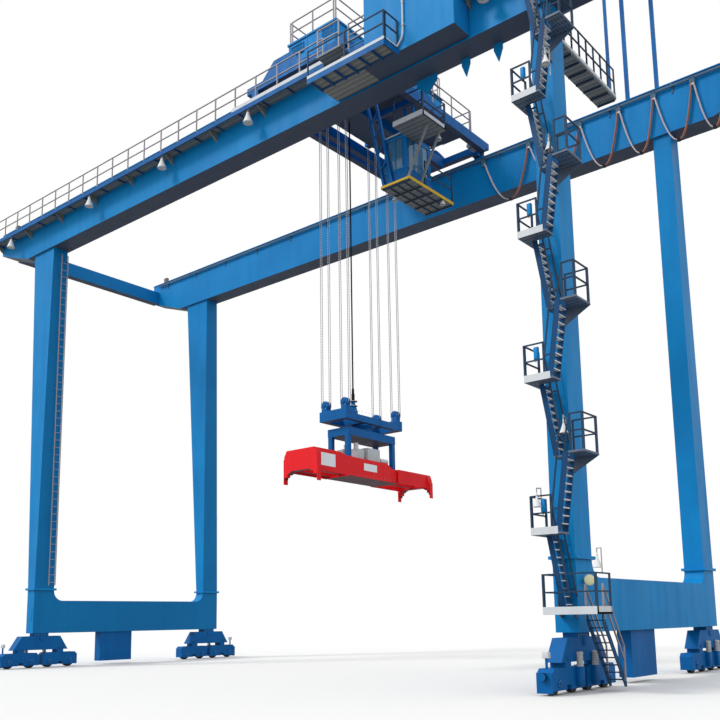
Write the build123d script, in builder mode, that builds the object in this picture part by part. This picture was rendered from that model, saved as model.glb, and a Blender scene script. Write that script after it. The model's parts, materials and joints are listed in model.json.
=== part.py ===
from build123d import *
import os

# Rail-mounted gantry crane, full size, millimetres.
# X runs along the girders, Y along the ground rails, Z is up from the rail head.

# Portal
LEG_INNER_X = 14_400
LEFT_LEG_TOP_WIDTH = 1_900
LEFT_LEG_FOOT_WIDTH = 620
RIGHT_LEG_WIDTH = 750
LEG_TOP_DEPTH = 820
LEG_FOOT_DEPTH = 1_100
LEG_JOINT_Z = 3_900
SEAM_PLATE = 50
SEAM_REACH = 90
GIRDER_INNER_Y = 4_870
GIRDER_WIDTH = 950
GIRDER_BOTTOM_Z = 22_200
GIRDER_DEPTH = 2_200
GIRDER_HALF_LENGTH = 19_750
GIRDER_TIP_DEPTH = 1_250
TAPER_LENGTH = 2_850
FLANGE_THICKNESS = 40
FLANGE_REACH = 40
TIE_WIDTH = 500
TIE_DEPTH = 800
BRACKETS_X = ((9_200, 10_100), (11_200, 11_550), (12_550, 12_900))
BRACKET_DROP = 700

# Sill beams and bogies
SILL_BOTTOM_Z = 1_700
SILL_TOP_Z = 3_330
KNEE_RADIUS = 520
TRUCK_SPREAD = 1_080
TRUCK_END = 170
TRUCK_PLATE = 150
TRUCK_LIFT = 125
TRUCK_ROOF = 110
TRUCK_CHAMFER = 130
TRUCK_PIN = 170
EQUALIZER_LIFT = 140
EQUALIZER_TOP_Z = 1_560
EQUALIZER_FOOT = 1_500
EQUALIZER_HEAD = 1_050
MAIN_PIN = 380
BUFFER_Z = 520
BUFFER_RADIUS = 110
BUFFER_LENGTH = 180
BUFFER_PLATE = 40
WHEEL_SIDES = 24
WHEEL_RADIUS = 315
WHEEL_WIDTH = 150
WHEEL_BASE = 1_150
WHEEL_GAP = 20
AXLE_RADIUS = 75
CLAMP_Y = -1_050
CLAMP_WIDTH = 480
CLAMP_LENGTH = 2_000
CLAMP_BOTTOM_Z = 180

# Trolley rails
RAIL_WIDTH = 80
RAIL_HEIGHT = 90
RAIL_END = 550
STOP_LENGTH = 300
STOP_HEIGHT = 550

# Railings
POST_SIZE = 50
RAIL_SIZE = 42
RAILING_HEIGHT = 1_100
POST_PITCH = 1_500

# Walkway on the near girder
WALK_LIFT = 1_570
WALK_WIDTH = 640
WALK_THICKNESS = 60
BRACKET_PITCH = 3_000
BRACKET_WIDTH = 60
BRACKET_DEPTH = 420

# Electrical house and its landing
HOUSE_LEFT_X = 8_100
HOUSE_RIGHT_X = 12_100
HOUSE_DEPTH = 980
HOUSE_LIFT = 100
HOUSE_HEIGHT = 3_300
HOUSE_CORNER = 40
LANDING_LEFT_X = 6_000
LANDING_RIGHT_X = 9_700
LANDING_WIDTH = 850
LANDING_THICKNESS = 120
WIDE_LEFT_X = 5_800
WIDE_RIGHT_X = 7_000
WIDE_REACH = 440

# Stair tower on the near right leg, its places along X counted from the leg's inner face
STAIR_FLIGHTS = 8
STAIR_BASE_Z = 2_280
STAIR_TOP_DROP = 3_170
TREADS_PER_FLIGHT = 9
TREAD_DEPTH = 160
TREAD_THICKNESS = 30
STAIR_WIDTH = 470
STAIR_GAP = 100
LANE_GAP = 60
STAIR_LEFT = -70
INNER_HEAD = 220
INNER_FOOT = 600
OUTER_FOOT = 800
OUTER_HEAD = 1_150
STAIR_RIGHT = 1_730
BASE_LEFT = 200
BASE_RIGHT = 1_860
STRINGER_WIDTH = 170
STRINGER_THICKNESS = 25
STAIR_FLOOR = 60
STAIR_ARM = 80
GUSSET_DEPTH = 540
HANDRAIL_OFFSET = 270
HANDRAIL_RISE = 880
BRACKET_SHARES = (0.1, 0.72)
HATCH_RIGHT = 720
TOP_LANDING_LEFT = -500
TOP_LANDING_RIGHT = 1_300

# Ground stair
GROUND_STAIR_X = 1_050
GROUND_STAIR_WIDTH = 500
GROUND_STAIR_RUN = 1_385
GROUND_STRINGER_DEPTH = 200
GROUND_TREADS = 9
GROUND_TREAD_DEPTH = 200
GROUND_CLEARANCE = 120
GROUND_TOE = 120

# Boarding platform, maintenance frame, festoon
BOARD_DROP = 1_000
BOARD_END_Y = -650
FRAME_POST_REACH = (-1_250, 80)
FRAME_POST = 150
FRAME_POST_OFFSET = 330
FRAME_HEIGHT = 6_800
FRAME_BAR = 200
FESTOON_OFFSET = 105
TRACK_DROP = 260
TRACK_DEPTH = 100
CARRIAGE_X = (6_170, 8_620, 11_210, 13_050, 14_620, 16_270, 17_600)
CARRIAGE_LENGTH = 220
CARRIAGE_HEIGHT = 200
CABLE_DIAMETER = 84
CABLE_SIDES = 6
LOOP_DROP = 2_950
LOOP_SHARE = 0.57
LOOP_RADIUS = 480

# Ladder on the near left leg
LADDER_X = 130
LADDER_Y = 420
LADDER_WIDTH = 400
LADDER_RAIL = 40
LADDER_FOOT = 200
LADDER_HEAD = 300
LADDER_HOLD_PITCH = 3_200
RUNG_PITCH = 390
RUNG_SIZE = 26

# Trolley
TROLLEY_X = 2_150
TROLLEY_LEFT = 1_750
TROLLEY_RIGHT = 3_900
TROLLEY_WHEEL_RADIUS = 250
TROLLEY_WHEEL_INSET = 480
TROLLEY_BEAM_BOTTOM = 350
TROLLEY_BEAM_DEPTH = 500
CARRIAGE_WIDTH = 320
CROSS_BEAM = 300
HOUSE_LENGTH_LEFT = 650
HOUSE_LENGTH_RIGHT = 2_180
MACHINE_HALF_WIDTH = 4_000
MACHINE_HEIGHT = 2_450

# Cab
CAB_LEFT = 4_200
CAB_RIGHT = 5_300
CAB_NEAR_Y = -3_400
CAB_FAR_Y = -1_700
CAB_DROP = 2_700
CAB_HEIGHT = 2_100
CAB_WALL = 60
CAB_WINDOW_SILL = 600
CAB_WINDOW_EDGE = 200
CAB_GLASS = 12
CAB_DECK_LEFT = 70
CAB_DECK_RIGHT = 250
CAB_DECK_NEAR = 170
CAB_DECK_FAR_Y = -450
CAB_DECK_THICKNESS = 100
HANGER_BAR = 100
HANGER_GAP = 10
HANGER_TOP = 3_350
HANGER_FOOT = 4_420
HANGER_SPREAD = 430
HANGER_RUNGS = 6
GANGWAY_LIFT = 1_920
GANGWAY_LENGTH = 1_450
GANGWAY_NEAR_Y = -4_250
GANGWAY_FAR_Y = -2_650

# Hoist, headblock and spreader
SHEAVE_X = 560
SHEAVE_Y = 1_780
ROPE_RADIUS = 16
ROPE_PAIR = 110
HEADBLOCK_BOTTOM_Z = 10_700
HEADBLOCK_HEIGHT = 450
HEADBLOCK_HALF_LENGTH = 2_000
HEADBLOCK_HALF_WIDTH = 760
HEADBLOCK_BEAM = 240
SHEAVE_RADIUS = 230
SHEAVE_SIDES = 16
SHEAVE_CLEARANCE = 60
BASKET_Y = -600
BASKET_FOOT_RADIUS = 170
BASKET_HEIGHT = 650
BASKET_TAPER = -16
SPREADER_CABLE_RADIUS = 34
RING_HEIGHT = 300
ROTARY_DEPTH = 350
ROTARY_HALF_LENGTH = 1_650
ROTARY_HALF_WIDTH = 600
ROTARY_LEG = 200
ROTARY_LEG_X = 480
ROTARY_LEG_Y = 1_550
RING_RADIUS = 450
RING_SIDES = 20
SPREADER_BOTTOM_Z = 8_150
SPREADER_MID = 900
SPREADER_HIGH = 1_000
SPREADER_LOW = 700
SPREADER_HALF_LENGTH = 4_050
SPREADER_HALF_WIDTH = 915
SPREADER_CORE_HALF_LENGTH = 1_700
SPREADER_CORE_HALF_WIDTH = 720
SPREADER_END_BEAM = 280
SIDE_PLATE = 40
PLATE_CLEARANCE = 15
PLATE_GAP = 10
PLATE_ROOT_Y = 1_550
BEAM_LIFT = 300
BEAM_WIDTH = 200
BEAM_HEIGHT = 260
BEAM_CLEARANCE = 12
BEAM_ROOT_Y = 900
PAD_CLEARANCE = 0.3
PAD_LENGTH = 150
CORNER_PAD = 180
CORNER_PAD_DEPTH = 120
GUIDE_DROP = 400
GUIDE_WIDTH = 220
GUIDE_THICKNESS = 40

GIRDER_TOP_Z = GIRDER_BOTTOM_Z + GIRDER_DEPTH
TAPER_START_X = GIRDER_HALF_LENGTH - TAPER_LENGTH
RAIL_HALF_LENGTH = GIRDER_HALF_LENGTH - RAIL_END
WALK_Z = GIRDER_BOTTOM_Z + WALK_LIFT
HOUSE_BOTTOM_Z = GIRDER_BOTTOM_Z + HOUSE_LIFT
HOUSE_TOP_Z = HOUSE_BOTTOM_Z + HOUSE_HEIGHT
BOARD_Z = GIRDER_BOTTOM_Z - BOARD_DROP
FRAME_TOP_Z = GIRDER_TOP_Z + FRAME_HEIGHT
FRAME_POST_X = [LEG_INNER_X + reach for reach in FRAME_POST_REACH]
STAIR_TOP_Z = WALK_Z - STAIR_TOP_DROP
CAB_FLOOR_Z = GIRDER_BOTTOM_Z - CAB_DROP
GANGWAY_Z = CAB_FLOOR_Z + GANGWAY_LIFT
ROTARY_TOP_Z = HEADBLOCK_BOTTOM_Z - RING_HEIGHT
SPREADER_MID_Z = SPREADER_BOTTOM_Z + SPREADER_MID
SPREADER_HIGH_Z = SPREADER_BOTTOM_Z + SPREADER_HIGH
SPREADER_LOW_Z = SPREADER_BOTTOM_Z + SPREADER_LOW
NEAR_PLATE_X = SPREADER_CORE_HALF_WIDTH + PLATE_CLEARANCE
FAR_PLATE_X = NEAR_PLATE_X + SIDE_PLATE + PLATE_GAP
BEAM_Z = SPREADER_BOTTOM_Z + BEAM_LIFT
GUIDE_BOTTOM_Z = SPREADER_BOTTOM_Z - GUIDE_DROP
GIRDER_MID_Y = GIRDER_INNER_Y + GIRDER_WIDTH / 2
GIRDER_OUTER_Y = GIRDER_INNER_Y + GIRDER_WIDTH
HOUSE_OUT_Y = GIRDER_OUTER_Y + HOUSE_DEPTH
FESTOON_Y = GIRDER_INNER_Y - FESTOON_OFFSET
RAIL_TOP_Z = GIRDER_TOP_Z + RAIL_HEIGHT
LEG_INNER_Y = GIRDER_MID_Y - LEG_TOP_DEPTH / 2
SILL_MID_Y = LEG_INNER_Y + LEG_FOOT_DEPTH / 2
SIDES = {"near": -1, "far": 1}
ENDS = {"left": -1, "right": 1}

os.makedirs("parts", exist_ok=True)


def finish(piece, name):
    """Label one finished piece and write its STEP file."""
    piece.part.label = name
    export_step(piece.part, f"parts/{name}.step")


def block(low, high):
    """Box between two opposite corners, added to the open part."""
    size = [b - a for a, b in zip(low, high)]
    centre = [(a + b) / 2 for a, b in zip(low, high)]
    with Locations(tuple(centre)):
        Box(*size)


def along(start, end):
    """Location midway between two points, its Z axis pointing along them."""
    run = Vector(*end) - Vector(*start)
    middle = (Vector(*start) + Vector(*end)) * 0.5
    side = Vector(0, 1, 0) if abs(run.Y) < 0.9 * run.length else Vector(1, 0, 0)
    return Plane(origin=middle, x_dir=side.cross(run), z_dir=run).location


def bar(start, end, width):
    """Square bar from one point to another, added to the open part."""
    with Locations(along(start, end)):
        Box(width, width, (Vector(*end) - Vector(*start)).length)


def railing(start, end, height=RAILING_HEIGHT, pitch=POST_PITCH):
    """Posts with a handrail and a knee rail between two floor points."""
    a = Vector(*start)
    b = Vector(*end)
    bays = max(1, round((b - a).length / pitch))
    posts = [a + (b - a) * (i / bays) + Vector(0, 0, height / 2) for i in range(bays + 1)]
    lifts = [Vector(0, 0, level) for level in (height - RAIL_SIZE / 2, height * 0.52)]
    with Locations(*[tuple(p) for p in posts]):
        Box(POST_SIZE, POST_SIZE, height)
    with Locations(*[along(tuple(a + lift), tuple(b + lift)) for lift in lifts]):
        Box(RAIL_SIZE, RAIL_SIZE, (b - a).length)


# Main girders: closed boxes with tapered tips and projecting flanges
for side, s in SIDES.items():
    mid_y = s * GIRDER_MID_Y
    with BuildPart() as girder:
        with BuildSketch(Plane.XZ.offset(-mid_y)):
            with BuildLine():
                Polyline(
                    (-GIRDER_HALF_LENGTH, GIRDER_TOP_Z),
                    (-GIRDER_HALF_LENGTH, GIRDER_TOP_Z - GIRDER_TIP_DEPTH),
                    (-TAPER_START_X, GIRDER_BOTTOM_Z),
                    (TAPER_START_X, GIRDER_BOTTOM_Z),
                    (GIRDER_HALF_LENGTH, GIRDER_TOP_Z - GIRDER_TIP_DEPTH),
                    (GIRDER_HALF_LENGTH, GIRDER_TOP_Z),
                    close=True,
                )
            make_face()
        extrude(amount=GIRDER_WIDTH / 2, both=True)
        block(
            (-GIRDER_HALF_LENGTH, mid_y - GIRDER_WIDTH / 2 - FLANGE_REACH, GIRDER_TOP_Z - FLANGE_THICKNESS),
            (GIRDER_HALF_LENGTH, mid_y + GIRDER_WIDTH / 2 + FLANGE_REACH, GIRDER_TOP_Z),
        )
        block(
            (-TAPER_START_X, mid_y - GIRDER_WIDTH / 2 - FLANGE_REACH, GIRDER_BOTTOM_Z),
            (TAPER_START_X, mid_y + GIRDER_WIDTH / 2 + FLANGE_REACH, GIRDER_BOTTOM_Z + FLANGE_THICKNESS),
        )
        if side == "near":
            for x0, x1 in BRACKETS_X:
                with BuildSketch(Plane.XZ.offset(GIRDER_INNER_Y + BRACKET_WIDTH)):
                    with BuildLine():
                        Polyline(
                            (x0, GIRDER_BOTTOM_Z),
                            (x1, GIRDER_BOTTOM_Z),
                            (x1, GIRDER_BOTTOM_Z - BRACKET_DROP / 3),
                            ((x0 + x1) / 2, GIRDER_BOTTOM_Z - BRACKET_DROP),
                            (x0, GIRDER_BOTTOM_Z - BRACKET_DROP / 3),
                            close=True,
                        )
                    make_face()
                extrude(amount=BRACKET_WIDTH)
    finish(girder, f"{side}_girder")

# Tie beams across the girder tips
TIE_TOP_Z = GIRDER_TOP_Z - 550
TIE_MID_X = GIRDER_HALF_LENGTH - TIE_WIDTH / 2 - 60
for end, e in ENDS.items():
    with BuildPart() as tie:
        block(
            (e * TIE_MID_X - TIE_WIDTH / 2, -GIRDER_INNER_Y, TIE_TOP_Z - TIE_DEPTH),
            (e * TIE_MID_X + TIE_WIDTH / 2, GIRDER_INNER_Y, TIE_TOP_Z),
        )
    finish(tie, f"{end}_end_tie")

# Trolley rails with an end stop at each end
with BuildPart() as trolley_rails:
    for s in SIDES.values():
        y = s * GIRDER_MID_Y
        block((-RAIL_HALF_LENGTH, y - RAIL_WIDTH / 2, GIRDER_TOP_Z), (RAIL_HALF_LENGTH, y + RAIL_WIDTH / 2, RAIL_TOP_Z))
        for e in ENDS.values():
            x = e * (RAIL_HALF_LENGTH - STOP_LENGTH / 2)
            block(
                (x - STOP_LENGTH / 2, y - RAIL_WIDTH, GIRDER_TOP_Z),
                (x + STOP_LENGTH / 2, y + RAIL_WIDTH, GIRDER_TOP_Z + STOP_HEIGHT),
            )
finish(trolley_rails, "trolley_rails")

# Legs: boxes tapered both ways, each cut from a front and a side outline, with a bolted foot flange
LEG_LENGTH = GIRDER_BOTTOM_Z - LEG_JOINT_Z
for end, e in ENDS.items():
    top_width = LEFT_LEG_TOP_WIDTH if end == "left" else RIGHT_LEG_WIDTH
    foot_width = LEFT_LEG_FOOT_WIDTH if end == "left" else RIGHT_LEG_WIDTH
    for side, s in SIDES.items():
        inner_x = e * LEG_INNER_X
        inner_y = s * LEG_INNER_Y
        with BuildPart() as leg:
            with BuildSketch(Plane.XZ.offset(-s * SILL_MID_Y)):
                with BuildLine():
                    Polyline(
                        (inner_x, LEG_JOINT_Z),
                        (inner_x + e * foot_width, LEG_JOINT_Z),
                        (inner_x + e * top_width, GIRDER_BOTTOM_Z),
                        (inner_x, GIRDER_BOTTOM_Z),
                        close=True,
                    )
                make_face()
            extrude(amount=LEG_FOOT_DEPTH, both=True)
            with BuildSketch(Plane.YZ.offset(inner_x)):
                with BuildLine():
                    Polyline(
                        (inner_y, LEG_JOINT_Z),
                        (inner_y + s * LEG_FOOT_DEPTH, LEG_JOINT_Z),
                        (inner_y + s * LEG_TOP_DEPTH, GIRDER_BOTTOM_Z),
                        (inner_y, GIRDER_BOTTOM_Z),
                        close=True,
                    )
                make_face()
            extrude(amount=2 * LEFT_LEG_TOP_WIDTH, both=True, mode=Mode.INTERSECT)
            with BuildSketch(Plane.XY.offset(LEG_JOINT_Z)):
                with Locations((inner_x + e * foot_width / 2, s * SILL_MID_Y)):
                    Rectangle(foot_width + 2 * SEAM_REACH, LEG_FOOT_DEPTH + 2 * SEAM_REACH)
            extrude(amount=SEAM_PLATE)
        finish(leg, f"{side}_{end}_leg")

# Sill beams: they end under the legs, with a rounded knee on each inner side
for end, e in ENDS.items():
    foot_width = LEFT_LEG_FOOT_WIDTH if end == "left" else RIGHT_LEG_WIDTH
    outer_y = LEG_INNER_Y + LEG_FOOT_DEPTH
    with BuildPart() as sill:
        with BuildSketch(Plane.YZ.offset(e * (LEG_INNER_X + foot_width / 2))):
            with BuildLine():
                Polyline(
                    (0, SILL_TOP_Z),
                    (0, SILL_BOTTOM_Z),
                    (outer_y, SILL_BOTTOM_Z),
                    (outer_y, LEG_JOINT_Z),
                    (LEG_INNER_Y, LEG_JOINT_Z),
                    (LEG_INNER_Y, SILL_TOP_Z + KNEE_RADIUS),
                )
                RadiusArc(
                    (LEG_INNER_Y, SILL_TOP_Z + KNEE_RADIUS),
                    (LEG_INNER_Y - KNEE_RADIUS, SILL_TOP_Z),
                    KNEE_RADIUS,
                )
                Line((LEG_INNER_Y - KNEE_RADIUS, SILL_TOP_Z), (0, SILL_TOP_Z))
            make_face()
            mirror(about=Plane.YZ)
        extrude(amount=foot_width / 2, both=True)
        for s in SIDES.values():
            with Locations((e * (LEG_INNER_X + foot_width / 2), s * SILL_MID_Y, LEG_JOINT_Z - SEAM_PLATE / 2)):
                Box(foot_width + 2 * SEAM_REACH, LEG_FOOT_DEPTH + 2 * SEAM_REACH, SEAM_PLATE)
    finish(sill, f"{end}_sill_beam")

# Bogies: an equalizer beam under each corner carries two box trucks, slotted for their wheels
TRUCK_TOP_Z = 2 * WHEEL_RADIUS + TRUCK_ROOF
TRUCK_LENGTH = WHEEL_BASE + 2 * WHEEL_RADIUS + TRUCK_END
EQUALIZER_BOTTOM_Z = TRUCK_TOP_Z + EQUALIZER_LIFT
WHEEL_SLOT = WHEEL_WIDTH + 2 * WHEEL_GAP
SLOT_LENGTH = WHEEL_BASE + 2 * (WHEEL_RADIUS + WHEEL_GAP)
SLOT_HEIGHT = 2 * (WHEEL_RADIUS + WHEEL_GAP)
TRUCK_WIDTH = WHEEL_SLOT + 2 * TRUCK_PLATE
for end, e in ENDS.items():
    foot_width = LEFT_LEG_FOOT_WIDTH if end == "left" else RIGHT_LEG_WIDTH
    mid_x = e * (LEG_INNER_X + foot_width / 2)
    for side, s in SIDES.items():
        mid_y = s * SILL_MID_Y
        with BuildPart() as bogie:
            for k in (-1, 1):
                y = mid_y + k * TRUCK_SPREAD
                with BuildSketch(Plane.YZ.offset(mid_x)):
                    with BuildLine():
                        Polyline(
                            (y - TRUCK_LENGTH / 2, TRUCK_LIFT),
                            (y + TRUCK_LENGTH / 2, TRUCK_LIFT),
                            (y + TRUCK_LENGTH / 2, TRUCK_TOP_Z - TRUCK_CHAMFER),
                            (y + TRUCK_LENGTH / 2 - TRUCK_CHAMFER, TRUCK_TOP_Z),
                            (y - TRUCK_LENGTH / 2 + TRUCK_CHAMFER, TRUCK_TOP_Z),
                            (y - TRUCK_LENGTH / 2, TRUCK_TOP_Z - TRUCK_CHAMFER),
                            close=True,
                        )
                    make_face()
                    with Locations((y, TRUCK_LIFT)):
                        Rectangle(TRUCK_CHAMFER * 2, TRUCK_CHAMFER * 2, mode=Mode.SUBTRACT)
                extrude(amount=TRUCK_WIDTH / 2, both=True)
                with Locations((mid_x, y, WHEEL_RADIUS)):
                    Box(WHEEL_SLOT, SLOT_LENGTH, SLOT_HEIGHT, mode=Mode.SUBTRACT)
            with BuildSketch(Plane.YZ.offset(mid_x)):
                with BuildLine():
                    Polyline(
                        (mid_y - EQUALIZER_FOOT, EQUALIZER_BOTTOM_Z),
                        (mid_y + EQUALIZER_FOOT, EQUALIZER_BOTTOM_Z),
                        (mid_y + EQUALIZER_HEAD, EQUALIZER_TOP_Z),
                        (mid_y - EQUALIZER_HEAD, EQUALIZER_TOP_Z),
                        close=True,
                    )
                make_face()
                for k in (-1, 1):
                    with Locations((mid_y + k * TRUCK_SPREAD, (TRUCK_TOP_Z + EQUALIZER_BOTTOM_Z) / 2)):
                        Rectangle(2 * TRUCK_PIN, EQUALIZER_BOTTOM_Z - TRUCK_TOP_Z)
                with Locations((mid_y, (EQUALIZER_TOP_Z + SILL_BOTTOM_Z) / 2)):
                    Rectangle(2 * MAIN_PIN, SILL_BOTTOM_Z - EQUALIZER_TOP_Z)
            extrude(amount=TRUCK_WIDTH / 2, both=True)
            end_y = SILL_MID_Y + TRUCK_SPREAD + TRUCK_LENGTH / 2
            plate_y = (s * end_y, s * (end_y + BUFFER_PLATE))
            block(
                (mid_x - TRUCK_WIDTH / 2, min(plate_y), TRUCK_LIFT / 2),
                (mid_x + TRUCK_WIDTH / 2, max(plate_y), BUFFER_Z + BUFFER_RADIUS),
            )
            with BuildSketch(Plane.XZ.offset(-s * (end_y + BUFFER_PLATE))):
                with Locations((mid_x, BUFFER_Z)):
                    RegularPolygon(BUFFER_RADIUS, WHEEL_SIDES // 2)
            extrude(amount=-s * (BUFFER_LENGTH - BUFFER_PLATE))
        finish(bogie, f"{side}_{end}_bogie")

# Ground wheels with their axles
with BuildPart() as gantry_wheels:
    for end, e in ENDS.items():
        foot_width = LEFT_LEG_FOOT_WIDTH if end == "left" else RIGHT_LEG_WIDTH
        mid_x = e * (LEG_INNER_X + foot_width / 2)
        places = [
            (s * SILL_MID_Y + k * TRUCK_SPREAD + w * WHEEL_BASE / 2, WHEEL_RADIUS)
            for s in SIDES.values()
            for k in (-1, 1)
            for w in (-1, 1)
        ]
        with BuildSketch(Plane.YZ.offset(mid_x)):
            with Locations(*places):
                RegularPolygon(WHEEL_RADIUS, WHEEL_SIDES)
        extrude(amount=WHEEL_WIDTH / 2, both=True)
        with BuildSketch(Plane.YZ.offset(mid_x)):
            with Locations(*places):
                RegularPolygon(AXLE_RADIUS, WHEEL_SIDES // 3)
        extrude(amount=WHEEL_SLOT / 2, both=True)
finish(gantry_wheels, "gantry_wheels")

# Rail clamp posts under the middle of each sill
with BuildPart() as rail_clamps:
    for end, e in ENDS.items():
        foot_width = LEFT_LEG_FOOT_WIDTH if end == "left" else RIGHT_LEG_WIDTH
        mid_x = e * (LEG_INNER_X + foot_width / 2)
        block(
            (mid_x - CLAMP_WIDTH / 2, CLAMP_Y - CLAMP_LENGTH / 2, CLAMP_BOTTOM_Z),
            (mid_x + CLAMP_WIDTH / 2, CLAMP_Y + CLAMP_LENGTH / 2, SILL_BOTTOM_Z),
        )
finish(rail_clamps, "rail_clamps")

# Stair tower places, used by the walkway too
STAIR_FAR_Y = -(LEG_INNER_Y + LEG_FOOT_DEPTH) - STAIR_GAP
INNER_LANE = STAIR_FAR_Y - STAIR_WIDTH / 2
OUTER_LANE = INNER_LANE - STAIR_WIDTH - LANE_GAP
STAIR_NEAR_Y = OUTER_LANE - STAIR_WIDTH / 2
WALK_EDGE = -GIRDER_OUTER_Y - WALK_WIDTH
HALF_STRINGER = STRINGER_WIDTH / 2
STAIR_LEVELS = [STAIR_BASE_Z + (STAIR_TOP_Z - STAIR_BASE_Z) * i / STAIR_FLIGHTS for i in range(STAIR_FLIGHTS + 1)]
STAIR_LEVELS.append(WALK_Z)


def flight(i):
    """Lane, foot X and head X of the flight from level i to the next."""
    if i % 2:
        return "outer", LEG_INNER_X + OUTER_FOOT, LEG_INNER_X + OUTER_HEAD
    foot = LEG_INNER_X + INNER_FOOT
    slope = (LEG_INNER_X + INNER_HEAD - foot) / (STAIR_LEVELS[1] - STAIR_LEVELS[0])
    return "inner", foot, foot + slope * (STAIR_LEVELS[i + 1] - STAIR_LEVELS[i])


HATCH = (flight(STAIR_FLIGHTS)[2] - HALF_STRINGER, LEG_INNER_X + HATCH_RIGHT)
HATCH_Y = (INNER_LANE - STAIR_WIDTH / 2 - LANE_GAP / 2, STAIR_FAR_Y + LANE_GAP / 2)

# Walkway along the near girder, on brackets, broken by the electrical house and the stair hatch
with BuildPart() as walkway:
    for x0, x1 in ((-GIRDER_HALF_LENGTH, HOUSE_LEFT_X), (HOUSE_RIGHT_X, GIRDER_HALF_LENGTH)):
        block((x0, WALK_EDGE, WALK_Z - WALK_THICKNESS), (x1, -GIRDER_OUTER_Y, WALK_Z))
    block(
        (WIDE_LEFT_X, WALK_EDGE - WIDE_REACH, WALK_Z - WALK_THICKNESS),
        (WIDE_RIGHT_X, WALK_EDGE, WALK_Z),
    )
    with Locations((sum(HATCH) / 2, sum(HATCH_Y) / 2, WALK_Z)):
        Box(HATCH[1] - HATCH[0], HATCH_Y[1] - HATCH_Y[0], 4 * WALK_THICKNESS, mode=Mode.SUBTRACT)
    for x0, x1 in ((-GIRDER_HALF_LENGTH, HOUSE_LEFT_X), (HOUSE_RIGHT_X, HATCH[0]), (HATCH[1], GIRDER_HALF_LENGTH)):
        bays = max(1, round((x1 - x0) / BRACKET_PITCH))
        for i in range(bays + 1):
            x = x0 + BRACKET_WIDTH + (x1 - x0 - 2 * BRACKET_WIDTH) * i / bays
            with BuildSketch(Plane.YZ.offset(x)):
                with BuildLine():
                    Polyline(
                        (-GIRDER_OUTER_Y, WALK_Z - WALK_THICKNESS),
                        (-GIRDER_OUTER_Y - WALK_WIDTH + POST_SIZE, WALK_Z - WALK_THICKNESS),
                        (-GIRDER_OUTER_Y, WALK_Z - WALK_THICKNESS - BRACKET_DEPTH),
                        close=True,
                    )
                make_face()
            extrude(amount=BRACKET_WIDTH / 2, both=True)
finish(walkway, "walkway")

WALK_EDGE_Y = WALK_EDGE + POST_SIZE / 2
RAILING_INSET = 60
with BuildPart() as walkway_railing:
    wide_y = WALK_EDGE_Y - WIDE_REACH
    gaps = (
        (-GIRDER_HALF_LENGTH, WIDE_LEFT_X, WALK_EDGE_Y, 1_300),
        (WIDE_LEFT_X, WIDE_RIGHT_X, wide_y, POST_PITCH),
        (WIDE_RIGHT_X, HOUSE_LEFT_X, WALK_EDGE_Y, POST_PITCH),
        (HOUSE_RIGHT_X, LEG_INNER_X + TOP_LANDING_LEFT, WALK_EDGE_Y, POST_PITCH),
        (LEG_INNER_X + TOP_LANDING_LEFT, LEG_INNER_X + TOP_LANDING_RIGHT, STAIR_NEAR_Y + POST_SIZE / 2, POST_PITCH),
        (LEG_INNER_X + TOP_LANDING_RIGHT, GIRDER_HALF_LENGTH, WALK_EDGE_Y, POST_PITCH),
    )
    for x0, x1, y, pitch in gaps:
        railing((x0 + RAILING_INSET, y, WALK_Z), (x1 - RAILING_INSET, y, WALK_Z), pitch=pitch)
    for x in (LEG_INNER_X + TOP_LANDING_LEFT + RAILING_INSET, LEG_INNER_X + TOP_LANDING_RIGHT - RAILING_INSET):
        railing((x, STAIR_NEAR_Y + 2 * POST_SIZE, WALK_Z), (x, WALK_EDGE_Y - RAILING_INSET, WALK_Z))
finish(walkway_railing, "walkway_railing")

# Electrical house hung on the near girder
with BuildPart() as electrical_house:
    block(
        (HOUSE_LEFT_X, -HOUSE_OUT_Y, HOUSE_BOTTOM_Z),
        (HOUSE_RIGHT_X, -GIRDER_OUTER_Y - FLANGE_REACH, HOUSE_TOP_Z),
    )
    fillet(electrical_house.edges().filter_by(Axis.Z), HOUSE_CORNER)
finish(electrical_house, "electrical_house")

with BuildPart() as house_landing:
    block(
        (LANDING_LEFT_X, -HOUSE_OUT_Y - LANDING_WIDTH, HOUSE_BOTTOM_Z),
        (LANDING_RIGHT_X, -HOUSE_OUT_Y, HOUSE_BOTTOM_Z + LANDING_THICKNESS),
    )
    block(
        (LANDING_LEFT_X, -HOUSE_OUT_Y, HOUSE_BOTTOM_Z),
        (HOUSE_LEFT_X, -GIRDER_OUTER_Y - FLANGE_REACH, HOUSE_BOTTOM_Z + LANDING_THICKNESS),
    )
finish(house_landing, "house_landing")

LANDING_TOP_Z = HOUSE_BOTTOM_Z + LANDING_THICKNESS
LANDING_EDGE_Y = -HOUSE_OUT_Y - LANDING_WIDTH + POST_SIZE / 2
with BuildPart() as landing_railing:
    railing((LANDING_LEFT_X + 25, LANDING_EDGE_Y, LANDING_TOP_Z), (LANDING_RIGHT_X - 25, LANDING_EDGE_Y, LANDING_TOP_Z))
    railing(
        (LANDING_RIGHT_X - 25, LANDING_EDGE_Y + 80, LANDING_TOP_Z),
        (LANDING_RIGHT_X - 25, -HOUSE_OUT_Y - 50, LANDING_TOP_Z),
    )
finish(landing_railing, "landing_railing")

# Stair tower: steep flights in two lanes between landings that turn around the leg's outer corner
LANE_SIDES = {
    "inner": (INNER_LANE - STAIR_WIDTH / 2, INNER_LANE + STAIR_WIDTH / 2),
    "outer": (OUTER_LANE - STAIR_WIDTH / 2, OUTER_LANE + STAIR_WIDTH / 2),
}


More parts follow.
